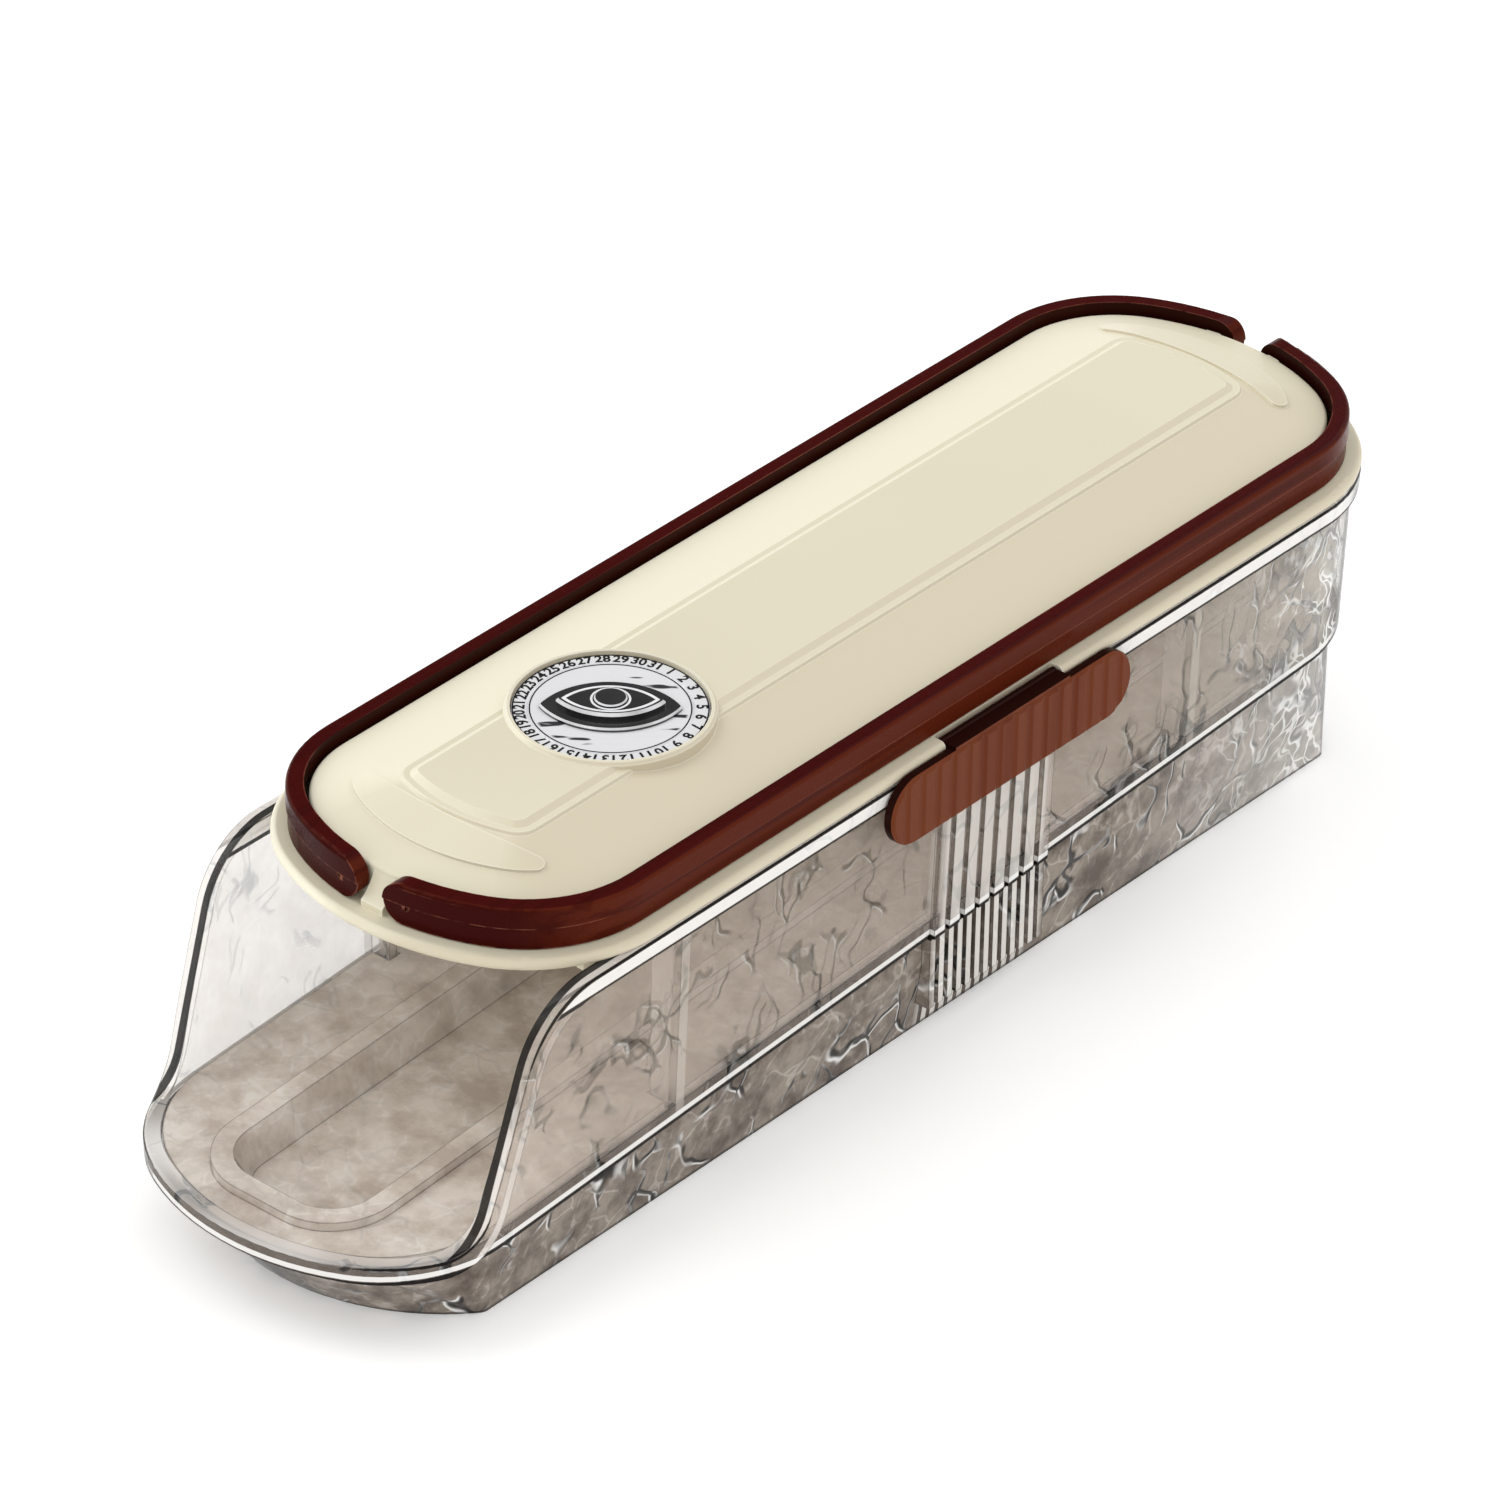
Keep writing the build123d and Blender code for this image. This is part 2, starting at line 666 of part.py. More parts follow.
with BuildPart() as latch_right:
    with BuildSketch(Plane.YZ.offset(latch_inner_x)):
        with Locations((lid_mid_y, latch_centre_height)):
            SlotOverall(latch_length, latch_height)
    extrude(amount=latch_thickness)
    chamfer(latch_right.faces().sort_by(Axis.X)[-1].edges(), latch_edge_bevel)
    with BuildSketch(Plane.XZ.offset(-lid_mid_y)):
        with Locations((latch_inner_x, latch_top_z)):
            Rectangle(latch_tab_thickness, latch_top_z - latch_centre_height, align=(Align.MIN, Align.MAX))
        with Locations((latch_pin_x, latch_top_z)):
            Rectangle(latch_inner_x - latch_pin_x, latch_arm_height, align=(Align.MIN, Align.MAX))
        with Locations((latch_pin_x, latch_pin_z)):
            Circle(latch_knuckle_radius)
    extrude(amount=latch_hinge_length / 2, both=True)
    with BuildSketch(Plane.XZ.offset(-lid_mid_y)):
        with Locations((rim_half_width + latch_nose_gap, rim_top - latch_nose_drop)):
            Rectangle(latch_bead_gap, latch_nose_height, align=(Align.MIN, Align.CENTER))
    extrude(amount=latch_hinge_length / 2, both=True)
    with BuildSketch(Plane.XZ.offset(-lid_mid_y)):
        with Locations((latch_pin_x, latch_pin_z)):
            Circle(latch_pin_radius + pin_running_gap)
    extrude(amount=latch_length, both=True, mode=Mode.SUBTRACT)
    with BuildSketch(Plane.XY.offset(latch_centre_height - latch_height / 2)):
        for index in range(flute_count):
            flute_y = lid_mid_y + latch_flute_pitch * (index - (flute_count - 1) / 2)
            with Locations((latch_outer_x + latch_flute_radius - latch_flute_depth, flute_y)):
                Circle(latch_flute_radius)
    extrude(amount=latch_height, mode=Mode.SUBTRACT)
latch_right.part.label = "latch_right"
export_step(latch_right.part, "parts/latch_right.step")

with BuildPart() as latch_left:
    mirror(latch_right.part, about=Plane.YZ)
latch_left.part.label = "latch_left"
export_step(latch_left.part, "parts/latch_left.step")

with BuildPart() as latch_pin_right:
    with BuildSketch(Plane.XZ.offset(-lid_mid_y)):
        with Locations((latch_pin_x, latch_pin_z)):
            Circle(latch_pin_radius)
    extrude(amount=pin_bore_length / 2, both=True)
latch_pin_right.part.label = "latch_pin_right"
export_step(latch_pin_right.part, "parts/latch_pin_right.step")

with BuildPart() as latch_pin_left:
    mirror(latch_pin_right.part, about=Plane.YZ)
latch_pin_left.part.label = "latch_pin_left"
export_step(latch_pin_left.part, "parts/latch_pin_left.step")

# Date dial: a disc in the boss, its lens-shaped grip and the retainer below
stem_foot_z = dial_pad_z - dial_retainer_gap - dial_retainer_thickness

with BuildPart() as dial_disc:
    with BuildSketch(Plane.XY.offset(dial_under_z)):
        with Locations((0, dial_y)):
            Circle(dial_radius)
    extrude(amount=dial_thickness)
    with BuildSketch(Plane.XY.offset(stem_foot_z)):
        with Locations((0, dial_y)):
            Circle(dial_stem_radius)
    extrude(amount=dial_under_z - stem_foot_z)
    with BuildSketch(Plane.XY.offset(dial_face_z - dial_groove_depth)):
        with Locations((0, dial_y)):
            Circle(dial_groove_radius + dial_groove_width)
            Circle(dial_groove_radius, mode=Mode.SUBTRACT)
    extrude(amount=dial_groove_depth, mode=Mode.SUBTRACT)
dial_disc.part.label = "dial_disc"
export_step(dial_disc.part, "parts/dial_disc.step")

grip_plane = Plane(origin=(0, dial_y, dial_face_z)).rotated((0, 0, grip_turn))
leaf_plane = grip_plane.offset(grip_base_rise)
button_plane = leaf_plane.offset(leaf_rise)


def lens_outline(plane, length, span):
    """A pointed oval in plan, with softened points."""
    with BuildSketch(plane) as lens:
        with BuildLine():
            ThreePointArc((-length / 2, 0), (0, span / 2), (length / 2, 0))
            ThreePointArc((length / 2, 0), (0, -span / 2), (-length / 2, 0))
        make_face()
        fillet(lens.vertices(), grip_tip_radius)
    return lens.sketch


with BuildPart() as dial_grip:
    extrude(lens_outline(grip_plane, grip_length, grip_span), amount=grip_base_rise)
    chamfer(dial_grip.edges().group_by(Axis.Z)[-1], grip_base_bevel)
    extrude(lens_outline(leaf_plane, leaf_length, leaf_span), amount=leaf_rise)
    chamfer(dial_grip.edges().group_by(Axis.Z)[-1], leaf_bevel)
    with BuildSketch(button_plane):
        Circle(button_radius)
    extrude(amount=button_rise)
    chamfer(dial_grip.edges().group_by(Axis.Z)[-1], button_bevel)
dial_grip.part.label = "dial_grip"
export_step(dial_grip.part, "parts/dial_grip.step")

with BuildPart() as dial_retainer:
    with BuildSketch(Plane.XY.offset(stem_foot_z)):
        with Locations((0, dial_y)):
            Circle(dial_retainer_radius)
            Circle(dial_stem_radius + pin_seat_gap, mode=Mode.SUBTRACT)
    extrude(amount=dial_retainer_thickness)
dial_retainer.part.label = "dial_retainer"
export_step(dial_retainer.part, "parts/dial_retainer.step")
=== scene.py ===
"""Rolling egg dispenser: camera, studio, materials and the dial's print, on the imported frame."""

from math import asin, cos, pi, radians, sin

import bpy
from mathutils import Matrix, Vector


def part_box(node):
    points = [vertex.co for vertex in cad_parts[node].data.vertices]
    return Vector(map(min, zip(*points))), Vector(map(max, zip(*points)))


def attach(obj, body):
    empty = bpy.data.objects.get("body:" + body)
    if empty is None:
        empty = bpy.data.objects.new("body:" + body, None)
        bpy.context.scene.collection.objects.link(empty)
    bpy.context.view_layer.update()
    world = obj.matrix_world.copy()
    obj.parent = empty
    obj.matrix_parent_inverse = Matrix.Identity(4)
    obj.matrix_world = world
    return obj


MM = 0.001

# Camera, as the photograph was taken
VIEW_AZIMUTH = radians(40.087)
VIEW_ELEVATION = radians(33.118)
VIEW_ROLL = radians(1.0)
CAMERA_PLACE = Vector((1.0743, -1.2837, 1.1482))
SENSOR = 36.0
LENS = 218.49
CLIP_END = 50

# Studio. A light is its place, its target, its two sizes and its power
WORLD_STRENGTH = 1.02
WORLD_WHITE = (255, 255, 255)
FLAG_DARK = (70, 68, 66)
FLAG_TOWARDS = Vector((-0.54, 0.64, 0.55))
FLAG_EDGE = (0.86, 0.97)
FLAG_SHARE = 0.8
KEY_LIGHT = ((-1.6, -0.9, 2.2), (0, 0, 0), (1.6, 1.6), 15)
REAR_LIGHT = ((-0.4, 2.2, 1.8), (0, 0, 0.05), (1.8, 0.9), 8)
FLOOR_SIZE = 12.0
FLOOR_DROP = 0.2 * MM
FLOOR_GLOW = 0.26
FLOOR_ROUGH = 0.9
FLOOR_SHINE = 0.1
FLOOR_CLOUD = 1.5
FLOOR_PALE = (246, 246, 245)
FLOOR_SHADE = (244, 244, 243)

# Nearly all noise values lie between these
NOISE_LOW = 0.3
NOISE_HIGH = 0.7

# How fine a noise is
NOISE_DETAIL = 2.0
SOFT_DETAIL = 1.0

# How much of a soft band is its edge, and of a net's line its core
SOFT_EDGE = 0.8
LINE_CORE = 0.3

# Places of the Mix node's sockets: two to fill and one to take, for colours and for vectors
MIX_COLOURS = (6, 7, 2)
MIX_VECTORS = (4, 5, 1)

# Where the bevelled normal leaves the true one, on an edge
EDGE_TURN = (0.99, 0.93)
EDGE_SAMPLES = 4

# Cream plastic. Colours are as the eye sees them, from 0 to 255
CREAM = (220, 213, 189)
CREAM_SHADE = (214, 206, 182)
# Painted highlight along the lid's sharp edges
CREAM_EDGE_HIGHLIGHT = (240, 236, 222)
# Painted shade on faces turned towards +X, and below it painted light on faces turned towards -X
CREAM_PAINTED_SHADE = (207, 197, 173)
CREAM_PAINTED_LIGHT = (236, 230, 208)
CREAM_CLOUD = 9.0
CREAM_STOPS = ((0.3, CREAM_SHADE), (0.62, CREAM))
# The turns at which the painted shade and the painted light set in
CREAM_TURN = (0.01, 0.22)
CREAM_EDGE = 0.5 * MM
# How much of the painted edge highlight is laid on
CREAM_HIGHLIGHT_SHARE = 0.8
CREAM_GRAIN = 900.0
CREAM_ROUGH = (0.34, 0.46)
CREAM_SHINE = 0.35
GRAIN_BUMP = (0.05, 0.2 * MM)

# Brown plastic of the handles
BROWN_SIDE = (84, 30, 14)
# Painted shade where faces turn to the ends; the same colour darkens the streaks
BROWN_END_SHADE_AND_STREAK = (52, 6, 4)
# Painted shade where faces turn up
BROWN_TOP_SHADE = (62, 8, 6)
# Painted highlight along the handles' sharp edges
BROWN_EDGE_HIGHLIGHT = (150, 92, 72)
# Painted shade, near black: on the handles' faces turned to the lid's middle, and on the latches'
# sides and top
BROWN_PAINTED_SHADE = (34, 10, 6)
# The turns at which the painted shade of the ends and of the top sets in
BROWN_END_TURN = (0.3, 0.9)
BROWN_TOP_TURN = (0.75, 0.95)
BROWN_EDGE = 0.45 * MM
# How much of the painted edge highlight is laid on
BROWN_HIGHLIGHT_SHARE = 0.7
STREAK_SCALE = 60.0
STREAK_DETAIL = 3.0
STREAK_STRETCH = (6, 0.12, 6)
STREAK_DARK = (0.52, 0.38)
STREAK_DARK_SHARE = 0.55
# Where the streaks let the painted edge highlight through
STREAK_HIGHLIGHT_BREAK = (0.36, 0.56)
# Where and how strongly painted shade falls on faces turned to the lid's middle
INSIDE_REACH = (-2 * MM, -12 * MM)
INSIDE_SHADE_SHARE = 0.85
BROWN_GRAIN = 600.0
BROWN_ROUGH = (0.2, 0.3)
BROWN_BUMP = (0.03, 0.2 * MM)
BROWN_SHINE = 0.035

# Brown plastic of the latches
LATCH_BROWN = (108, 55, 33)
LATCH_SHADE = (100, 48, 28)
# The turns at which painted shade sets in on the latches' sides and top
LATCH_SIDE_TURN = (0.6, 0.4)
LATCH_TOP_TURN = (0.75, 0.9)
BAND_SCALE = 210.0
BAND_STRETCH = (0.02, 1, 0.03)
BAND_STOPS = ((0.36, LATCH_SHADE), (0.6, LATCH_BROWN))
LATCH_GRAIN = 700.0
LATCH_ROUGH = (0.3, 0.42)
LATCH_SHINE = 0.045

# The clear plastics' crumpled film: a bend is a noise scale and an amount, a net is a cell
# scale and a line width
# Painted shade: the near black of the clear plastics' creases and dark lines
CLEAR_PAINTED_SHADE = (20, 16, 14)
# Painted highlight: the white of the clear plastics' strokes, lines and rear sheen
CLEAR_PAINTED_HIGHLIGHT = (252, 251, 249)
CLEAR_IOR = 1.46
CLEAR_BUMP = (0.3, 1.2 * MM)
PATCH_SCALE = 105.0
PATCH_DETAIL = 5.0
PATCH_ROUGHNESS = 0.62
PATCH_STOPS = (0.36, 0.62)
VEIN_BEND = (60.0, 0.025)
VEIN_NET = (96.0, 0.06)
VEIN_PATCHES = (0.42, 0.6)
VEIN_SHARE = 0.42
# The creases are painted shade, each with a painted highlight on one side
CREASE_BEND = (52.0, 0.03)
CREASE_LEAN = (radians(-35), 0, 0)
CREASE_STRETCH = (1, 1.25, 0.6)
CREASE_NET = (74.0, 0.065)
CREASE_SHARE = 0.92
CREASE_DEPTH = -0.1
CREASE_LIGHT_NET = (74.0, 0.05)
CREASE_LIGHT_SHARE = 0.85
CREASE_LIGHT_SIDE = (0.0, 0.7 * MM, 0.4 * MM)
CREASE_GROUPS = 72.0
CREASE_GROUP_EDGE = (0.47, 0.58)
CREASE_REAR = (90 * MM, 170 * MM)

# The tub's walls, from clear at the front to silvery at the rear, the silver a painted reflection
CLEAR_PALE = (212, 197, 185)
# Painted reflection: the silvery tint of the rear walls, also laid on the fins
CLEAR_REAR_SHEEN = (222, 217, 207)
BASE_LIGHT = (156, 145, 134)
BASE_DARK = (98, 87, 79)
BASE_NET = (208, 199, 190)
BASE_CREASES = 1.0
BASE_ALPHA = 0.9
REAR_RANGE = (60 * MM, 165 * MM)
# Share of painted highlight whitening the film at the rear
REAR_WHITE = 0.35
WALL_ALPHA = 0.21
WALL_REAR_ALPHA = 0.2
WALL_CLOUD = (0.8, 1.3)
WISP_ALPHA = 0.3
WISP_REAR_ALPHA = 0.55
WISP_TINT = (0.05, 0.2)
TUB_ROUGH = (0.04, 0.1)
TUB_SHINE = 0.13

# White strokes at the tub's rear, a painted highlight
GLINT_BEND = (70.0, 0.035)
GLINT_LEAN = (radians(-50), 0, 0)
GLINT_STRETCH = (1, 2.3, 0.7)
GLINT_NET = (88.0, 0.09)
GLINT_SHARE = 0.9
GLINT_GROUPS = 95.0
GLINT_GROUP_EDGE = (0.43, 0.56)
GLINT_RANGE = (85 * MM, 150 * MM)

# The tub's fins, paled by a painted sheen, and the ribs of its grip panels, with painted highlight
# on the ribs and painted shade in the grooves
FIN_PLACES = (-82.0 * MM, 92.0 * MM)
FIN_HALF = 1.5 * MM
# The fins' pale painted sheen, and how much it hides
FIN_TINT = 0.5
FIN_ALPHA = 0.45
# Painted highlight on the ribs and painted shade in the grooves between them
CLEAR_RIB_HIGHLIGHT = (244, 240, 234)
CLEAR_GROOVE_SHADE = (70, 54, 45)
PANEL_HALF = 20.3 * MM
PANEL_SIDE_TURN = (0.3, 0.5)
PANEL_TINT = 0.75
PANEL_ALPHA = 0.6
COARSE_RIBS = 8
COARSE_SHARE = 0.7
FINE_RIBS = 13
FINE_SHARE = 0.6

# The tub's ledge, as a height at the middle and a rise per length, and its lines: a painted shade
# line along it and a painted highlight line just above it
LEDGE_HEIGHT = 26.3 * MM
LEDGE_SLOPE = 0.0536
LEDGE_BLUR = 0.3 * MM
LEDGE_LINE = LEDGE_HEIGHT + 0.1 * MM
LEDGE_LINE_HALF = 0.85 * MM
LEDGE_SHINE = LEDGE_HEIGHT + 1.7 * MM
LEDGE_SHINE_HALF = 0.75 * MM

# The tub's rim, its mouth and its other lines, of painted highlight and painted shade. A turn is a
# range of the surface's normal
RIM_TOP = 75.8 * MM
RIM_BEAD = 4.4 * MM
BEAD_HALF = 0.4 * RIM_BEAD
UNDER_HALF = 0.14 * RIM_BEAD
UPRIGHT_TURN = (0.12, 0.05)
WALL_DRAFT = 0.0314
MOUTH_INNER = 44.2 * MM
MOUTH_MIDDLE = 46.2 * MM
MOUTH_BLUR = 0.2 * MM
CROWN_UP_TURN = (0.15, 0.3)
CROWN_SIDE_TURN = (0.5, 0.3)
CROWN_FROM = (LEDGE_HEIGHT - 3 * MM, LEDGE_HEIGHT - 1 * MM)
CROWN_GLEAM_SCALE = 26.0
CROWN_GLEAM = (0.15, 1.0)
SHOULDER_LOW_TURN = (0.12, 0.28)
SHOULDER_HIGH_TURN = (0.94, 0.82)
FOOT_RANGE = (1.1 * MM, 0.5 * MM)
FOOT_TURN = (-0.95, -0.7)
FOOT_SHARE = 0.7
# Where the walls turning from the eye and their sharp edges get painted shade
TUB_GRAZING = (0.7, 0.9)
TUB_EDGE = 0.4 * MM
TUB_EDGE_SHARE = 0.8
TUB_WHITE_SHARE = 0.85
TUB_LINE_ALPHA = 0.94

# The tray
TRAY_LIGHT = (240, 230, 219)
TRAY_DARK = (196, 183, 171)
TRAY_NET = (250, 246, 241)
TRAY_CREASES = 0.12
# Where the tray gets dark lines of painted shade: where it turns from the eye and on its sharp
# edges
TRAY_GRAZING = (0.75, 0.96)
TRAY_EDGE = 0.5 * MM
TRAY_LINE_TINT = 0.75
TRAY_LINE_ALPHA = 0.95
TRAY_ALPHA = (0.86, 0.72)
TRAY_ROUGH = (0.1, 0.22)

# The dial's face, its grip and its print
SILVER = (238, 238, 240)
# Painted reflection: the dark swirls on the silver face
SILVER_PAINTED_REFLECTION = (52, 52, 55)
SWIRL_SCALE = 150.0
SWIRL_STRETCH = (0.4, 1.6, 1)
SWIRL_DARK = (0.415, 0.375)
SWIRL_RIM = (17.0 * MM, 16.2 * MM)
DIAL_ROUGH = (0.1, 0.24)
DIAL_BUMP = (0.3, 0.6 * MM)
DIAL_METAL = 0.2
INK = (16, 16, 17)
INK_LIGHT = (30, 30, 32)
INK_CLOUD = 300.0
INK_ROUGH = (0.14, 0.26)
INK_SHINE = 0.3
GLOSS_CLOUD = 160.0
GLOSS_DETAIL = 3.0
GLOSS_ROUGH = (0.1, 0.2)
GLOSS_COAT = 0.5
GLOSS_COAT_ROUGH = 0.05
# Painted highlight on the grip's bevels
BEVEL_LOW_TURN = (0.45, 0.6)
BEVEL_HIGH_TURN = (0.85, 0.75)
BEVEL_HIGHLIGHT_SPREAD = (0.6, 1.0)
# White of the painted highlight on the grip's bevels and lines
WHITE_LINE = (226, 226, 228)
WHITE_CLOUD = 400.0
WHITE_ROUGH = (0.2, 0.35)

# The grip's turn and its leaf and button, as in the frame, and the painted highlight lines on
# them. A leaf line is its inner and its outer loop, as shares of the leaf's length and width
GRIP_TURN = radians(40.0)
LEAF_LENGTH = 24.0 * MM
LEAF_WIDTH = 12.4 * MM
LEAF_LINE = ((0.8, 0.74), (0.88, 0.84))
BUTTON_RISE = 0.6 * MM
BUTTON_LINE = (3.9 * MM, 4.4 * MM)

# The dial's print. A ring is its name and its two radii
DAYS = 31
NUMBER_RING = 19.5 * MM
NUMBER_SIZE = 3.51 * MM
NUMBER_WEIGHT = 0.09 * MM
NUMBER_CURVE_STEPS = 3
PRINT_RINGS = (("edge", 20.85 * MM, 21.2 * MM), ("inner", 17.2 * MM, 17.5 * MM))
PRINT_RISE = 0.06 * MM
PRINT_SINK = 0.05 * MM
RING_SEGMENTS = 96


# Node helpers

def linear(colour):
    """A colour as the eye sees it, as the linear colour that shaders take, by the sRGB curve."""
    out = []
    for part in colour:
        value = part / 255
        out.append(value / 12.92 if value <= 0.04045 else ((value + 0.055) / 1.055) ** 2.4)
    return (*out, 1.0)


def new_material(name):
    """A material with its node tree, its shader and its object coordinates."""
    material = bpy.data.materials.new(name)
    material.use_nodes = True
    tree = material.node_tree
    shader = tree.nodes["Principled BSDF"]
    place = tree.nodes.new("ShaderNodeTexCoord")
    return material, tree, shader, place.outputs["Object"]


def fill(tree, item, socket):
    """A node's socket, filled with a number or vector, or linked to another node's output."""
    if isinstance(item, bpy.types.NodeSocket):
        tree.links.new(item, socket)
    else:
        socket.default_value = item


def combine(tree, operation, first, second=0):
    """Two values, or a value and a number, put together."""
    node = tree.nodes.new("ShaderNodeMath")
    node.operation = operation
    fill(tree, first, node.inputs[0])
    fill(tree, second, node.inputs[1])
    return node.outputs[0]


def times(tree, *values):
    """Values multiplied."""
    out = values[0]
    for value in values[1:]:
        out = combine(tree, "MULTIPLY", out, value)
    return out


def most(tree, *values):
    """The greatest of some values."""
    out = values[0]
    for value in values[1:]:
        out = combine(tree, "MAXIMUM", out, value)
    return out


def vectors(tree, operation, first, second):
    """Two vectors put together, as a node with a vector and a value to take."""
    node = tree.nodes.new("ShaderNodeVectorMath")
    node.operation = operation
    fill(tree, first, node.inputs[0])
    fill(tree, second, node.inputs[1])
    return node


def axes(tree, vector):
    """The parts of a vector, by the names of the axes."""
    node = tree.nodes.new("ShaderNodeSeparateXYZ")
    tree.links.new(vector, node.inputs[0])
    return node.outputs


def mapped(tree, place, rotation=(0, 0, 0), scale=(1, 1, 1), shift=(0, 0, 0)):
    """Coordinates scaled, turned and shifted."""
    node = tree.nodes.new("ShaderNodeMapping")
    node.inputs["Rotation"].default_value = rotation
    node.inputs["Scale"].default_value = scale
    node.inputs["Location"].default_value = shift
    tree.links.new(place, node.inputs["Vector"])
    return node.outputs["Vector"]


def noise(tree, place, scale, detail=NOISE_DETAIL, roughness=0.5, stretch=(1, 1, 1)):
    """A noise value over the object, drawn out along an axis where asked."""
    texture = tree.nodes.new("ShaderNodeTexNoise")
    texture.inputs["Scale"].default_value = scale
    texture.inputs["Detail"].default_value = detail
    texture.inputs["Roughness"].default_value = roughness
    tree.links.new(mapped(tree, place, scale=stretch), texture.inputs["Vector"])
    return texture.outputs["Fac"]


def ramp(tree, value, stops):
    """A colour ramp between two stops of place and colour."""
    node = tree.nodes.new("ShaderNodeValToRGB")
    for element, (at, colour) in zip(node.color_ramp.elements, stops):
        element.position = at
        element.color = linear(colour)
    tree.links.new(value, node.inputs["Fac"])
    return node.outputs["Color"]


def cloudy(tree, cloud, first, second):
    """A noise value, as a colour between two colours."""
    return ramp(tree, cloud, ((NOISE_LOW, first), (NOISE_HIGH, second)))


def spread(tree, cloud, low, high):
    """A noise value, spread from low to high."""
    node = tree.nodes.new("ShaderNodeMapRange")
    node.inputs["From Min"].default_value = NOISE_LOW
    node.inputs["From Max"].default_value = NOISE_HIGH
    node.inputs["To Min"].default_value = low
    node.inputs["To Max"].default_value = high
    tree.links.new(cloud, node.inputs["Value"])
    return node.outputs["Result"]


def step(tree, value, low, high):
    """A value that goes smoothly from 0 at low to 1 at high."""
    node = tree.nodes.new("ShaderNodeMapRange")
    node.interpolation_type = "SMOOTHSTEP"
    node.inputs["From Min"].default_value = low
    node.inputs["From Max"].default_value = high
    tree.links.new(value, node.inputs["Value"])
    return node.outputs["Result"]


def near(tree, value, centre, half):
    """1 where a value is within half of a centre, with a soft edge."""
    away = combine(tree, "ABSOLUTE", combine(tree, "SUBTRACT", value, centre))
    return step(tree, away, half, half * SOFT_EDGE)


def mix(tree, share, first, second):
    """A colour between two colours, by a share."""
    node = tree.nodes.new("ShaderNodeMix")
    node.data_type = "RGBA"
    tree.links.new(share, node.inputs["Factor"])
    low, high, out = MIX_COLOURS
    for colour, place in ((first, low), (second, high)):
        colour = linear(colour) if isinstance(colour, tuple) else colour
        fill(tree, colour, node.inputs[place])
    return node.outputs[out]


def turned(tree, direction):
    """How far the surface is turned towards an object axis, -1 to 1."""
    place = tree.nodes.new("ShaderNodeTexCoord")
    return axes(tree, place.outputs["Normal"])[direction]


def facing(tree, direction):
    """How far the surface faces along an object axis, 0 to 1, whichever way round."""
    return combine(tree, "ABSOLUTE", turned(tree, direction))


def edges(tree, radius):
    """The sharp edges of a piece, 1 on an edge and 0 further than a radius from it."""
    rounded = tree.nodes.new("ShaderNodeBevel")
    rounded.samples = EDGE_SAMPLES
    rounded.inputs["Radius"].default_value = radius
    geometry = tree.nodes.new("ShaderNodeNewGeometry")
    along = vectors(tree, "DOT_PRODUCT", rounded.outputs["Normal"], geometry.outputs["Normal"])
    return step(tree, along.outputs["Value"], *EDGE_TURN)


def grazing(tree, low, high):
    """Where a clear wall turns away from the eye: the mask for the painted shade that makes it
    look thick and dark.
    """
    weight = tree.nodes.new("ShaderNodeLayerWeight")
    return step(tree, weight.outputs["Facing"], low, high)


def bent(tree, place, scale, amount):
    """Coordinates bent by a soft noise, for lines that wander."""
    bend = tree.nodes.new("ShaderNodeTexNoise")
    bend.inputs["Scale"].default_value = scale
    bend.inputs["Detail"].default_value = NOISE_DETAIL
    tree.links.new(place, bend.inputs["Vector"])
    shift = tree.nodes.new("ShaderNodeMix")
    shift.data_type = "VECTOR"
    shift.inputs["Factor"].default_value = amount
    low, high, out = MIX_VECTORS
    tree.links.new(place, shift.inputs[low])
    tree.links.new(bend.outputs["Color"], shift.inputs[high])
    return shift.outputs[out]


def net(tree, place, scale, width, shift=(0, 0, 0)):
    """Thin lines between cells, 1 on a line and 0 away from it."""
    cells = tree.nodes.new("ShaderNodeTexVoronoi")
    cells.feature = "DISTANCE_TO_EDGE"
    cells.inputs["Scale"].default_value = scale
    tree.links.new(mapped(tree, place, shift=shift), cells.inputs["Vector"])
    return step(tree, cells.outputs["Distance"], width, width * LINE_CORE)


def surface(tree, shader, colour, cloud, rough):
    """A shader's colour, and its roughness by a noise value."""
    tree.links.new(colour, shader.inputs["Base Color"])
    tree.links.new(spread(tree, cloud, *rough), shader.inputs["Roughness"])


def emboss(tree, shader, height, strength, distance):
    """A shader's bump, from a height value."""
    node = tree.nodes.new("ShaderNodeBump")
    node.inputs["Strength"].default_value = strength
    node.inputs["Distance"].default_value = distance
    tree.links.new(height, node.inputs["Height"])
    tree.links.new(node.outputs["Normal"], shader.inputs["Normal"])


def lay(tree, coat, colour, tint, cover):
    """A coat of colour and alpha, with a colour laid over it by its tint and its cover."""
    return mix(tree, tint, coat[0], colour), most(tree, coat[1], cover)


# Plastics of the lid, the handles and the latches

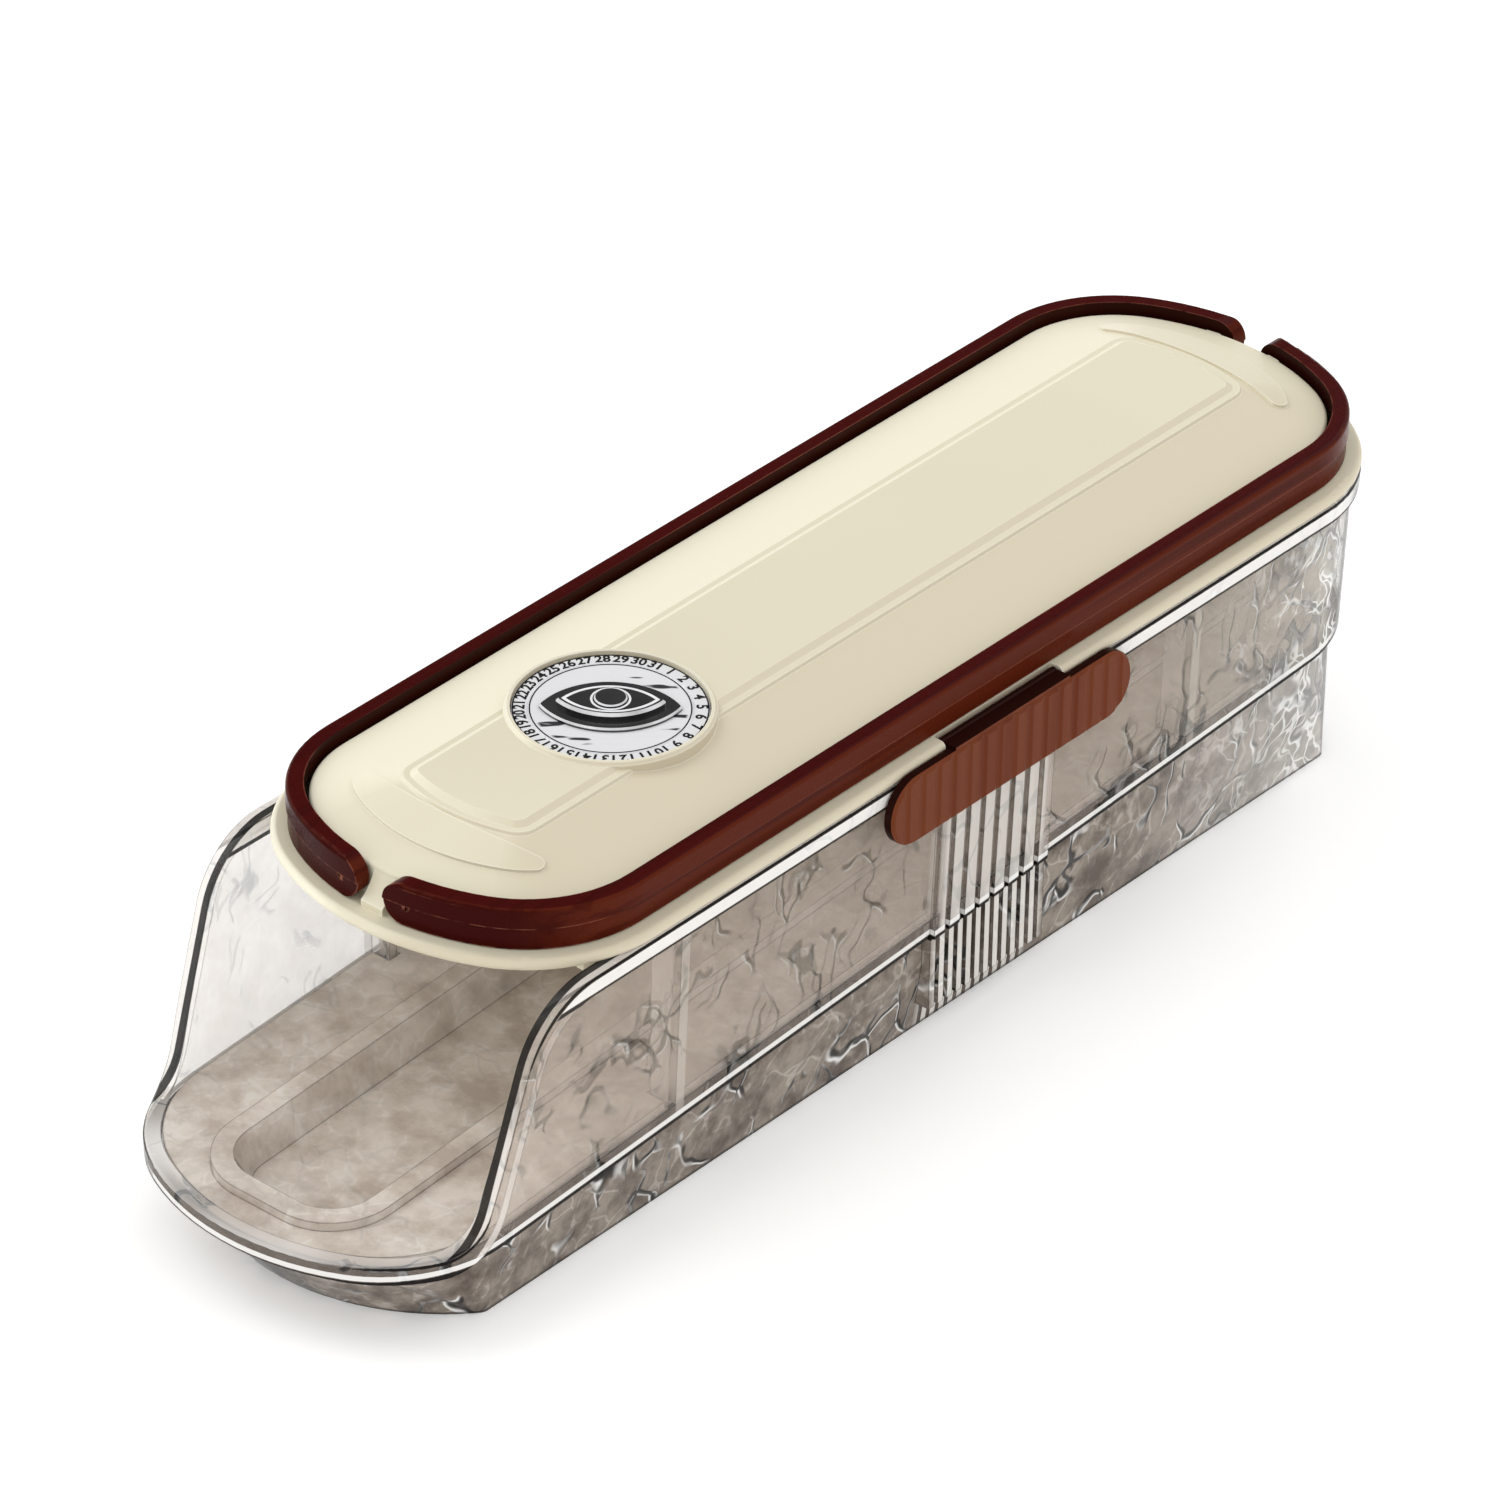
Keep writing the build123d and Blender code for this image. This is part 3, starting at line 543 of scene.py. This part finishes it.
def cream_plastic():
    """Satin cream plastic, faintly clouded, with a painted highlight along its edges, painted
    shade on faces turned towards +X, painted light on faces turned towards -X, and a fine grain.
    """
    material, tree, shader, place = new_material("cream_plastic")
    colour = ramp(tree, noise(tree, place, CREAM_CLOUD), CREAM_STOPS)
    away = turned(tree, "X")
    low, high = CREAM_TURN
    # Painted shade on faces turned towards +X, painted light on faces turned towards -X
    colour = mix(tree, step(tree, away, low, high), colour, CREAM_PAINTED_SHADE)
    colour = mix(tree, step(tree, away, -low, -high), colour, CREAM_PAINTED_LIGHT)
    # Painted highlight along the sharp edges
    colour = mix(tree, times(tree, edges(tree, CREAM_EDGE), CREAM_HIGHLIGHT_SHARE), colour, CREAM_EDGE_HIGHLIGHT)
    grain = noise(tree, place, CREAM_GRAIN)
    surface(tree, shader, colour, grain, CREAM_ROUGH)
    emboss(tree, shader, grain, *GRAIN_BUMP)
    shader.inputs["Specular IOR Level"].default_value = CREAM_SHINE
    return material


def inward(tree, place, centre):
    """1 where the surface faces the middle of the lid, and 0 where it faces out."""
    arm = vectors(tree, "SUBTRACT", place, centre)
    flat = vectors(tree, "MULTIPLY", arm.outputs["Vector"], (1, 1, 0))
    normal = tree.nodes.new("ShaderNodeTexCoord")
    along = vectors(tree, "DOT_PRODUCT", flat.outputs["Vector"], normal.outputs["Normal"])
    return step(tree, along.outputs["Value"], *INSIDE_REACH)


def brown_plastic(centre):
    """Glossy dark plastic: streaked, with painted shade that makes it darker red on top and at the
    ends and near black inside, and a painted highlight along its edges.
    """
    material, tree, shader, place = new_material("brown_plastic")
    # Painted shade: darker red where faces turn to the ends and up
    colour = mix(tree, step(tree, facing(tree, "Y"), *BROWN_END_TURN), BROWN_SIDE, BROWN_END_SHADE_AND_STREAK)
    colour = mix(tree, step(tree, facing(tree, "Z"), *BROWN_TOP_TURN), colour, BROWN_TOP_SHADE)
    streaks = noise(tree, place, STREAK_SCALE, detail=STREAK_DETAIL, stretch=STREAK_STRETCH)
    dark = times(tree, step(tree, streaks, *STREAK_DARK), STREAK_DARK_SHARE)
    colour = mix(tree, dark, colour, BROWN_END_SHADE_AND_STREAK)
    # Painted highlight along the sharp edges, broken up by the streaks
    edge_highlight = times(tree, edges(tree, BROWN_EDGE), step(tree, streaks, *STREAK_HIGHLIGHT_BREAK), BROWN_HIGHLIGHT_SHARE)
    colour = mix(tree, edge_highlight, colour, BROWN_EDGE_HIGHLIGHT)
    # Painted shade, near black, on faces turned to the middle of the lid
    inside = times(tree, inward(tree, place, centre), INSIDE_SHADE_SHARE)
    colour = mix(tree, inside, colour, BROWN_PAINTED_SHADE)
    grain = noise(tree, place, BROWN_GRAIN)
    surface(tree, shader, colour, grain, BROWN_ROUGH)
    emboss(tree, shader, grain, *BROWN_BUMP)
    shader.inputs["Specular IOR Level"].default_value = BROWN_SHINE
    return material


def latch_plastic():
    """The latches' warmer brown, with upright bands, and painted shade that makes it near black on
    its sides and its top.
    """
    material, tree, shader, place = new_material("latch_plastic")
    bands = noise(tree, place, BAND_SCALE, detail=SOFT_DETAIL, stretch=BAND_STRETCH)
    colour = ramp(tree, bands, BAND_STOPS)
    # Painted shade, near black, on the sides and the top
    colour = mix(tree, step(tree, facing(tree, "X"), *LATCH_SIDE_TURN), colour, BROWN_PAINTED_SHADE)
    colour = mix(tree, step(tree, facing(tree, "Z"), *LATCH_TOP_TURN), colour, BROWN_PAINTED_SHADE)
    grain = noise(tree, place, LATCH_GRAIN)
    surface(tree, shader, colour, grain, LATCH_ROUGH)
    emboss(tree, shader, grain, *GRAIN_BUMP)
    shader.inputs["Specular IOR Level"].default_value = LATCH_SHINE
    return material


# Clear plastics

def crease_groups(tree, place, strength):
    """Where the creases gather: in groups, and all over at the rear."""
    groups = step(tree, noise(tree, place, CREASE_GROUPS), *CREASE_GROUP_EDGE)
    at_rear = step(tree, axes(tree, place)["Y"], *CREASE_REAR)
    groups = combine(tree, "ADD", groups, at_rear)
    return times(tree, combine(tree, "MINIMUM", groups, 1.0), strength)


def film(tree, place, dark, light, vein, strength):
    """Crumpled film: cloudy patches, a net of pale veins, and creases of painted shade, each with
    a painted highlight on one side.

    Gives its colour, where its creases are, and its relief.
    """
    patches = noise(tree, place, PATCH_SCALE, detail=PATCH_DETAIL, roughness=PATCH_ROUGHNESS)
    colour = ramp(tree, patches, zip(PATCH_STOPS, (dark, light)))
    veins = net(tree, bent(tree, place, *VEIN_BEND), *VEIN_NET)
    veins = times(tree, veins, step(tree, patches, *VEIN_PATCHES), VEIN_SHARE)
    colour = mix(tree, veins, colour, vein)

    groups = crease_groups(tree, place, strength)
    lean = mapped(tree, bent(tree, place, *CREASE_BEND), CREASE_LEAN, CREASE_STRETCH)
    # Painted highlight beside each crease
    bright = times(tree, net(tree, lean, *CREASE_LIGHT_NET, CREASE_LIGHT_SIDE), groups)
    colour = mix(tree, times(tree, bright, CREASE_LIGHT_SHARE), colour, CLEAR_PAINTED_HIGHLIGHT)
    # Painted shade in the creases
    creases = times(tree, net(tree, lean, *CREASE_NET), groups)
    colour = mix(tree, times(tree, creases, CREASE_SHARE), colour, CLEAR_PAINTED_SHADE)
    relief = combine(tree, "ADD", patches, times(tree, creases, CREASE_DEPTH))
    return colour, most(tree, bright, creases), relief


def tub_walls(tree, place, along, below):
    """The tub's coat: clear walls with a few creases, whitened by a painted reflection towards the
    rear, and film below the ledge; and its relief.
    """
    rear = step(tree, along, *REAR_RANGE)
    wrinkled, strokes, relief = film(tree, place, BASE_DARK, BASE_LIGHT, BASE_NET, BASE_CREASES)
    # Painted reflection: the film whitens towards the rear
    wrinkled = mix(tree, times(tree, rear, REAR_WHITE), wrinkled, CLEAR_PAINTED_HIGHLIGHT)
    colour = mix(tree, below, mix(tree, rear, CLEAR_PALE, CLEAR_REAR_SHEEN), wrinkled)
    clear = combine(tree, "ADD", times(tree, rear, WALL_REAR_ALPHA), WALL_ALPHA)
    clear = times(tree, clear, spread(tree, relief, *WALL_CLOUD))
    coat = (colour, most(tree, clear, times(tree, below, BASE_ALPHA)))
    wisps = combine(tree, "ADD", times(tree, rear, WISP_REAR_ALPHA), WISP_ALPHA)
    wisps = times(tree, strokes, wisps)
    return lay(tree, coat, wrinkled, step(tree, wisps, *WISP_TINT), wisps), relief


def lay_glints(tree, coat, place, along):
    """Painted highlight: white strokes over a coat, in groups, at the tub's rear."""
    lean = mapped(tree, bent(tree, place, *GLINT_BEND), GLINT_LEAN, GLINT_STRETCH)
    groups = step(tree, noise(tree, place, GLINT_GROUPS), *GLINT_GROUP_EDGE)
    glints = times(tree, net(tree, lean, *GLINT_NET), GLINT_SHARE, groups)
    glints = times(tree, glints, step(tree, along, *GLINT_RANGE))
    return lay(tree, coat, CLEAR_PAINTED_HIGHLIGHT, glints, glints)


def lay_fins(tree, coat, along, below):
    """Upright fins over a coat, above the ledge, paled by a painted sheen."""
    above = step(tree, below, 1.0, 0.0)
    for fin in FIN_PLACES:
        band = times(tree, near(tree, along, fin, FIN_HALF), above)
        tint = times(tree, band, FIN_TINT)
        coat = lay(tree, coat, CLEAR_REAR_SHEEN, tint, times(tree, band, FIN_ALPHA))
    return coat


def ribs(tree, across, count, share):
    """1 on the ribs of a row across the grip panel, and 0 between them."""
    pitch = 2 * PANEL_HALF / count
    places = combine(tree, "DIVIDE", combine(tree, "ADD", across, PANEL_HALF), pitch)
    return near(tree, combine(tree, "FRACT", places), 0.5, share / 2)


def lay_grip_panel(tree, coat, across, below):
    """Ribs of painted highlight and grooves of painted shade over a coat, coarse above the ledge
    and fine below it.
    """
    panel = near(tree, across, 0.0, PANEL_HALF)
    panel = times(tree, panel, step(tree, facing(tree, "X"), *PANEL_SIDE_TURN))
    coarse = ribs(tree, across, COARSE_RIBS, COARSE_SHARE)
    fine = ribs(tree, across, FINE_RIBS, FINE_SHARE)
    ribbed = mix(tree, mix(tree, below, coarse, fine), CLEAR_GROOVE_SHADE, CLEAR_RIB_HIGHLIGHT)
    tint = times(tree, panel, PANEL_TINT)
    return lay(tree, coat, ribbed, tint, times(tree, panel, PANEL_ALPHA))


def rim_crown(tree, up, height):
    """1 on the rim's upper faces, where they don't face sideways, above the ledge."""
    crown = times(
        tree, step(tree, up, *CROWN_UP_TURN), step(tree, facing(tree, "X"), *CROWN_SIDE_TURN)
    )
    return times(tree, crown, step(tree, height, *CROWN_FROM))


def mouth_line(tree, axis, crown):
    """The painted shade line along the inner half of the mouth's upper strip."""
    drop = times(tree, combine(tree, "SUBTRACT", RIM_TOP, axis["Z"]), WALL_DRAFT)
    reach = combine(tree, "ADD", combine(tree, "ABSOLUTE", axis["X"]), drop)
    inner = times(tree, step(tree, reach, MOUTH_INNER - MOUTH_BLUR, MOUTH_INNER), crown)
    return times(tree, inner, step(tree, reach, MOUTH_MIDDLE + MOUTH_BLUR, MOUTH_MIDDLE))


def lay_white_lines(tree, coat, place, axis, height, crown, upright):
    """Painted highlight over a coat: the rim's gleam, its bead, and the shine above the ledge's
    line.
    """
    gleam = spread(tree, noise(tree, place, CROWN_GLEAM_SCALE, detail=SOFT_DETAIL), *CROWN_GLEAM)
    shine = near(tree, height, LEDGE_SHINE, LEDGE_SHINE_HALF)
    bead = times(tree, near(tree, axis["Z"], RIM_TOP - RIM_BEAD / 2, BEAD_HALF), upright)
    white = times(tree, most(tree, times(tree, crown, gleam), shine, bead), TUB_WHITE_SHARE)
    return lay(tree, coat, CLEAR_PAINTED_HIGHLIGHT, white, white)


def lay_black_lines(tree, coat, axis, height, up, crown, upright):
    """Painted shade over a coat: black lines at the ledge, the rounded shoulders, the mouth, under
    the bead, the foot, the edges, and where the walls turn from the eye.
    """
    line = near(tree, height, LEDGE_LINE, LEDGE_LINE_HALF)
    shoulder = times(
        tree, step(tree, up, *SHOULDER_LOW_TURN), step(tree, up, *SHOULDER_HIGH_TURN)
    )
    shoulder = combine(tree, "SUBTRACT", shoulder, crown)
    under = times(tree, near(tree, axis["Z"], RIM_TOP - RIM_BEAD, UNDER_HALF), upright)
    foot = times(
        tree, step(tree, axis["Z"], *FOOT_RANGE), step(tree, up, *FOOT_TURN), FOOT_SHARE
    )
    sharp = times(tree, edges(tree, TUB_EDGE), TUB_EDGE_SHARE)
    turning = grazing(tree, *TUB_GRAZING)
    mouth = mouth_line(tree, axis, crown)
    black = most(tree, line, shoulder, turning, mouth, under, foot, sharp)
    return lay(tree, coat, CLEAR_PAINTED_SHADE, black, times(tree, black, TUB_LINE_ALPHA))


def clear_tub(panel_place):
    """The tub's plastic: clear walls, crumpled film below the ledge, and all their lines of
    painted highlight and painted shade.
    """
    material, tree, shader, place = new_material("clear_tub")
    axis = axes(tree, place)
    height = combine(tree, "SUBTRACT", axis["Z"], times(tree, axis["Y"], LEDGE_SLOPE))
    below = step(tree, height, LEDGE_HEIGHT + LEDGE_BLUR, LEDGE_HEIGHT - LEDGE_BLUR)
    coat, relief = tub_walls(tree, place, axis["Y"], below)
    coat = lay_glints(tree, coat, place, axis["Y"])
    coat = lay_fins(tree, coat, axis["Y"], below)
    across = combine(tree, "SUBTRACT", axis["Y"], panel_place)
    coat = lay_grip_panel(tree, coat, across, below)

    up = turned(tree, "Z")
    crown = rim_crown(tree, up, height)
    upright = step(tree, up, *UPRIGHT_TURN)
    coat = lay_white_lines(tree, coat, place, axis, height, crown, upright)
    colour, alpha = lay_black_lines(tree, coat, axis, height, up, crown, upright)
    surface(tree, shader, colour, relief, TUB_ROUGH)
    emboss(tree, shader, relief, *CLEAR_BUMP)
    tree.links.new(alpha, shader.inputs["Alpha"])
    shader.inputs["IOR"].default_value = CLEAR_IOR
    shader.inputs["Specular IOR Level"].default_value = TUB_SHINE
    return material


def clear_tray():
    """The tray's plastic: clear, faintly smoked and clouded, with dark edges of painted shade."""
    material, tree, shader, place = new_material("clear_tray")
    colour, _, relief = film(tree, place, TRAY_DARK, TRAY_LIGHT, TRAY_NET, TRAY_CREASES)
    black = most(tree, grazing(tree, *TRAY_GRAZING), edges(tree, TRAY_EDGE))
    coat = (colour, spread(tree, relief, *TRAY_ALPHA))
    tint = times(tree, black, TRAY_LINE_TINT)
    colour, alpha = lay(tree, coat, CLEAR_PAINTED_SHADE, tint, times(tree, black, TRAY_LINE_ALPHA))
    surface(tree, shader, colour, relief, TRAY_ROUGH)
    emboss(tree, shader, relief, *CLEAR_BUMP)
    tree.links.new(alpha, shader.inputs["Alpha"])
    shader.inputs["IOR"].default_value = CLEAR_IOR
    return material


# Materials of the dial

def dial_silver(centre):
    """Bright silvered disc with dark swirls of painted reflection, inside its number ring."""
    material, tree, shader, place = new_material("dial_silver")
    turn = mapped(tree, place, rotation=(0, 0, -GRIP_TURN))
    swirl = noise(tree, turn, SWIRL_SCALE, stretch=SWIRL_STRETCH)
    away = vectors(tree, "DISTANCE", place, centre)
    inside = step(tree, away.outputs["Value"], *SWIRL_RIM)
    dark = times(tree, step(tree, swirl, *SWIRL_DARK), inside)
    surface(tree, shader, mix(tree, dark, SILVER, SILVER_PAINTED_REFLECTION), swirl, DIAL_ROUGH)
    emboss(tree, shader, swirl, *DIAL_BUMP)
    shader.inputs["Metallic"].default_value = DIAL_METAL
    return material


def ink():
    """Printed black, a little worn in its gloss."""
    material, tree, shader, place = new_material("ink")
    cloud = noise(tree, place, INK_CLOUD)
    surface(tree, shader, cloudy(tree, cloud, INK, INK_LIGHT), cloud, INK_ROUGH)
    shader.inputs["Specular IOR Level"].default_value = INK_SHINE
    return material


def grip_gloss():
    """The grip's black gloss, with a white painted highlight on its bevels."""
    material, tree, shader, place = new_material("grip_gloss")
    cloud = noise(tree, place, GLOSS_CLOUD, detail=GLOSS_DETAIL)
    rise = facing(tree, "Z")
    bevel = times(tree, step(tree, rise, *BEVEL_LOW_TURN), step(tree, rise, *BEVEL_HIGH_TURN))
    # Painted highlight on the bevels
    edge_highlight = times(tree, bevel, spread(tree, cloud, *BEVEL_HIGHLIGHT_SPREAD))
    colour = mix(tree, edge_highlight, cloudy(tree, cloud, INK, INK_LIGHT), WHITE_LINE)
    surface(tree, shader, colour, cloud, GLOSS_ROUGH)
    shader.inputs["Coat Weight"].default_value = GLOSS_COAT
    shader.inputs["Coat Roughness"].default_value = GLOSS_COAT_ROUGH
    return material


def white_line():
    """White of the painted highlight lines, a little uneven."""
    material, tree, shader, place = new_material("white_line")
    cloud = noise(tree, place, WHITE_CLOUD)
    surface(tree, shader, cloudy(tree, cloud, SILVER, WHITE_LINE), cloud, WHITE_ROUGH)
    return material


# Pieces

def flat_band(name, inner, outer, low, high):
    """A flat band between two loops of points, as a mesh: print on the dial, painted highlight
    lines on the grip.
    """
    points = []
    faces = []
    for close, far in zip(inner, outer):
        corners = ((close, low), (far, low), (far, high), (close, high))
        points += [(place.x, place.y, level) for place, level in corners]
    sides = len(corners)
    for index in range(len(inner)):
        here = sides * index
        there = sides * ((index + 1) % len(inner))
        for side in range(sides):
            after = (side + 1) % sides
            faces.append((here + side, here + after, there + after, there + side))
    mesh = bpy.data.meshes.new(name)
    mesh.from_pydata(points, [], faces)
    mesh.validate()
    band = bpy.data.objects.new(name, mesh)
    bpy.context.collection.objects.link(band)
    return band


def circle_loop(centre, radius):
    """Points round a circle."""
    angles = [2 * pi * index / RING_SEGMENTS for index in range(RING_SEGMENTS)]
    return [
        Vector((centre.x + radius * cos(angle), centre.y + radius * sin(angle)))
        for angle in angles
    ]


def lens_loop(centre, length, span):
    """Points round a pointed oval made of two arcs, turned as the grip is."""
    half = length / 2
    radius = (half * half + span * span / 4) / span
    reach = asin(half / radius)
    points = []
    for side in (1, -1):
        for index in range(RING_SEGMENTS // 2):
            angle = reach - 2 * reach * index / (RING_SEGMENTS // 2)
            x = side * radius * sin(angle)
            y = side * (radius * cos(angle) - radius + span / 2)
            points.append(Vector((
                centre.x + x * cos(GRIP_TURN) - y * sin(GRIP_TURN),
                centre.y + x * sin(GRIP_TURN) + y * cos(GRIP_TURN),
            )))
    return points


def day_number(day, centre, level):
    """One day's number on the dial's number ring, read from outside."""
    angle = pi / 2 - 2 * pi * (day - 1) / DAYS
    curve = bpy.data.curves.new("day", "FONT")
    curve.body = str(day)
    curve.size = NUMBER_SIZE
    curve.offset = NUMBER_WEIGHT
    curve.align_x = "CENTER"
    curve.align_y = "CENTER"
    curve.extrude = (PRINT_RISE + PRINT_SINK) / 2
    curve.resolution_u = NUMBER_CURVE_STEPS
    place = Vector((
        centre.x + NUMBER_RING * cos(angle),
        centre.y + NUMBER_RING * sin(angle),
        level,
    ))
    text = bpy.data.objects.new("day", curve)
    mesh = bpy.data.meshes.new_from_object(text)
    mesh.transform(Matrix.Translation(place) @ Matrix.Rotation(angle - pi / 2, 4, "Z"))
    bpy.data.objects.remove(text)
    number = bpy.data.objects.new("day_%02d" % day, mesh)
    bpy.context.collection.objects.link(number)
    return number


def join(objects, name, material):
    """Joins mesh objects into one piece of one material."""
    bpy.ops.object.select_all(action="DESELECT")
    for item in objects:
        item.select_set(True)
    bpy.context.view_layer.objects.active = objects[0]
    bpy.ops.object.join()
    joined = bpy.context.view_layer.objects.active
    joined.name = name
    joined.data.materials.clear()
    joined.data.materials.append(material)
    return joined


def add_dial_print():
    """The day numbers and two fine rings on the dial's face."""
    low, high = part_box("dial_disc")
    centre = (low + high) / 2
    face = high.z
    middle = face + (PRINT_RISE - PRINT_SINK) / 2
    numbers = [day_number(day, centre, middle) for day in range(1, DAYS + 1)]
    rings = []
    for name, inner, outer in PRINT_RINGS:
        loops = (circle_loop(centre, inner), circle_loop(centre, outer))
        rings.append(flat_band(name, *loops, face - PRINT_SINK, face + PRINT_RISE))
    marks = join(numbers + rings, "dial_print", ink())
    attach(marks, "dial")


def add_grip_lines():
    """Fine white lines of painted highlight on the grip: round its leaf and round its button."""
    low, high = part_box("dial_disc")
    centre = (low + high) / 2
    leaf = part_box("dial_grip")[1].z - BUTTON_RISE
    leaf_loops = [
        lens_loop(centre, LEAF_LENGTH * long, LEAF_WIDTH * wide) for long, wide in LEAF_LINE
    ]
    button_loops = [circle_loop(centre, radius) for radius in BUTTON_LINE]
    bands = [
        flat_band(name, *loops, leaf - PRINT_SINK, leaf + PRINT_RISE)
        for name, loops in (("leaf_line", leaf_loops), ("button_line", button_loops))
    ]
    lines = join(bands, "grip_lines", white_line())
    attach(lines, "dial")


def dress(node, material):
    """Gives a carried-over node its material."""
    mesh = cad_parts[node].data
    if not mesh.materials:
        mesh.materials.append(material)
    for index in range(len(mesh.materials)):
        mesh.materials[index] = material


def dress_nodes():
    """Every carried-over node gets its material."""
    lid_low, lid_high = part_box("lid")
    latch_low, latch_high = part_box("latch_right")
    disc_low, disc_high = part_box("dial_disc")
    face_centre = (disc_low + disc_high) / 2
    face_centre.z = disc_high.z
    cream = cream_plastic()
    brown = brown_plastic((lid_low + lid_high) / 2)
    latch = latch_plastic()
    dress("tub", clear_tub((latch_low.y + latch_high.y) / 2))
    dress("ramp_tray", clear_tray())
    dress("lid", cream)
    dress("dial_retainer", cream)
    dress("dial_disc", dial_silver(face_centre))
    dress("dial_grip", grip_gloss())
    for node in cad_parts:
        if node.startswith("handle"):
            dress(node, brown)
        if node.startswith("latch"):
            dress(node, latch)


# Camera and studio

def add_camera():
    """The camera at the photograph's place."""
    back = Vector((
        sin(VIEW_AZIMUTH) * cos(VIEW_ELEVATION),
        -cos(VIEW_AZIMUTH) * cos(VIEW_ELEVATION),
        sin(VIEW_ELEVATION),
    ))
    right = Vector((cos(VIEW_AZIMUTH), sin(VIEW_AZIMUTH), 0))
    up = back.cross(right)
    across = cos(VIEW_ROLL) * right + sin(VIEW_ROLL) * up
    upward = -sin(VIEW_ROLL) * right + cos(VIEW_ROLL) * up
    turn = Matrix((across, upward, back)).transposed().to_4x4()
    data = bpy.data.cameras.new("camera")
    data.sensor_width = SENSOR
    data.lens = LENS
    data.clip_end = CLIP_END
    camera = bpy.data.objects.new("camera", data)
    bpy.context.collection.objects.link(camera)
    camera.matrix_world = Matrix.Translation(CAMERA_PLACE) @ turn
    bpy.context.scene.camera = camera


def add_area_light(name, place, target, sizes, power):
    """A soft box that looks at a target."""
    data = bpy.data.lights.new(name, "AREA")
    data.shape = "RECTANGLE"
    data.size, data.size_y = sizes
    data.energy = power
    light = bpy.data.objects.new(name, data)
    bpy.context.collection.objects.link(light)
    light.location = place
    direction = Vector(target) - Vector(place)
    light.rotation_euler = direction.to_track_quat("-Z", "Y").to_euler()


def add_world():
    """A white world with a soft dark patch, for the clear plastic to reflect."""
    world = bpy.data.worlds.new("studio")
    bpy.context.scene.world = world
    world.use_nodes = True
    tree = world.node_tree
    background = tree.nodes["Background"]
    background.inputs["Strength"].default_value = WORLD_STRENGTH
    place = tree.nodes.new("ShaderNodeTexCoord")
    direction = place.outputs["Generated"]
    towards = vectors(tree, "DOT_PRODUCT", direction, FLAG_TOWARDS.normalized())
    flag = times(tree, step(tree, towards.outputs["Value"], *FLAG_EDGE), FLAG_SHARE)
    tree.links.new(mix(tree, flag, WORLD_WHITE, FLAG_DARK), background.inputs["Color"])


def floor_pale():
    """Plain pale floor, with a faint glow of its own."""
    material, tree, shader, place = new_material("floor_pale")
    cloud = noise(tree, place, FLOOR_CLOUD, detail=SOFT_DETAIL)
    colour = cloudy(tree, cloud, FLOOR_SHADE, FLOOR_PALE)
    tree.links.new(colour, shader.inputs["Base Color"])
    shader.inputs["Roughness"].default_value = FLOOR_ROUGH
    shader.inputs["Specular IOR Level"].default_value = FLOOR_SHINE
    shader.inputs["Emission Color"].default_value = linear(FLOOR_PALE)
    shader.inputs["Emission Strength"].default_value = FLOOR_GLOW
    return material


def add_floor():
    """A square floor, just below the box."""
    half = FLOOR_SIZE / 2
    corners = [(-half, -half, 0), (half, -half, 0), (half, half, 0), (-half, half, 0)]
    mesh = bpy.data.meshes.new("floor")
    mesh.from_pydata(corners, [], [(0, 1, 2, 3)])
    mesh.materials.append(floor_pale())
    floor = bpy.data.objects.new("floor", mesh)
    floor.location.z = -FLOOR_DROP
    bpy.context.collection.objects.link(floor)


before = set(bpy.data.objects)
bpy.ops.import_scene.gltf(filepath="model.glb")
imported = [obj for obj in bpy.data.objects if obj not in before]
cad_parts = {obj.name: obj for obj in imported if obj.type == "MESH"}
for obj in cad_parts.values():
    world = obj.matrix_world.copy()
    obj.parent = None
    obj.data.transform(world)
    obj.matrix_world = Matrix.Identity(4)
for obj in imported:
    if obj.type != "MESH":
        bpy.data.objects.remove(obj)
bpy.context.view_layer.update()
add_camera()
add_world()
add_area_light("key", *KEY_LIGHT)
add_area_light("rear", *REAR_LIGHT)
add_floor()
bpy.context.scene.view_settings.view_transform = "Standard"
dress_nodes()
add_dial_print()
add_grip_lines()
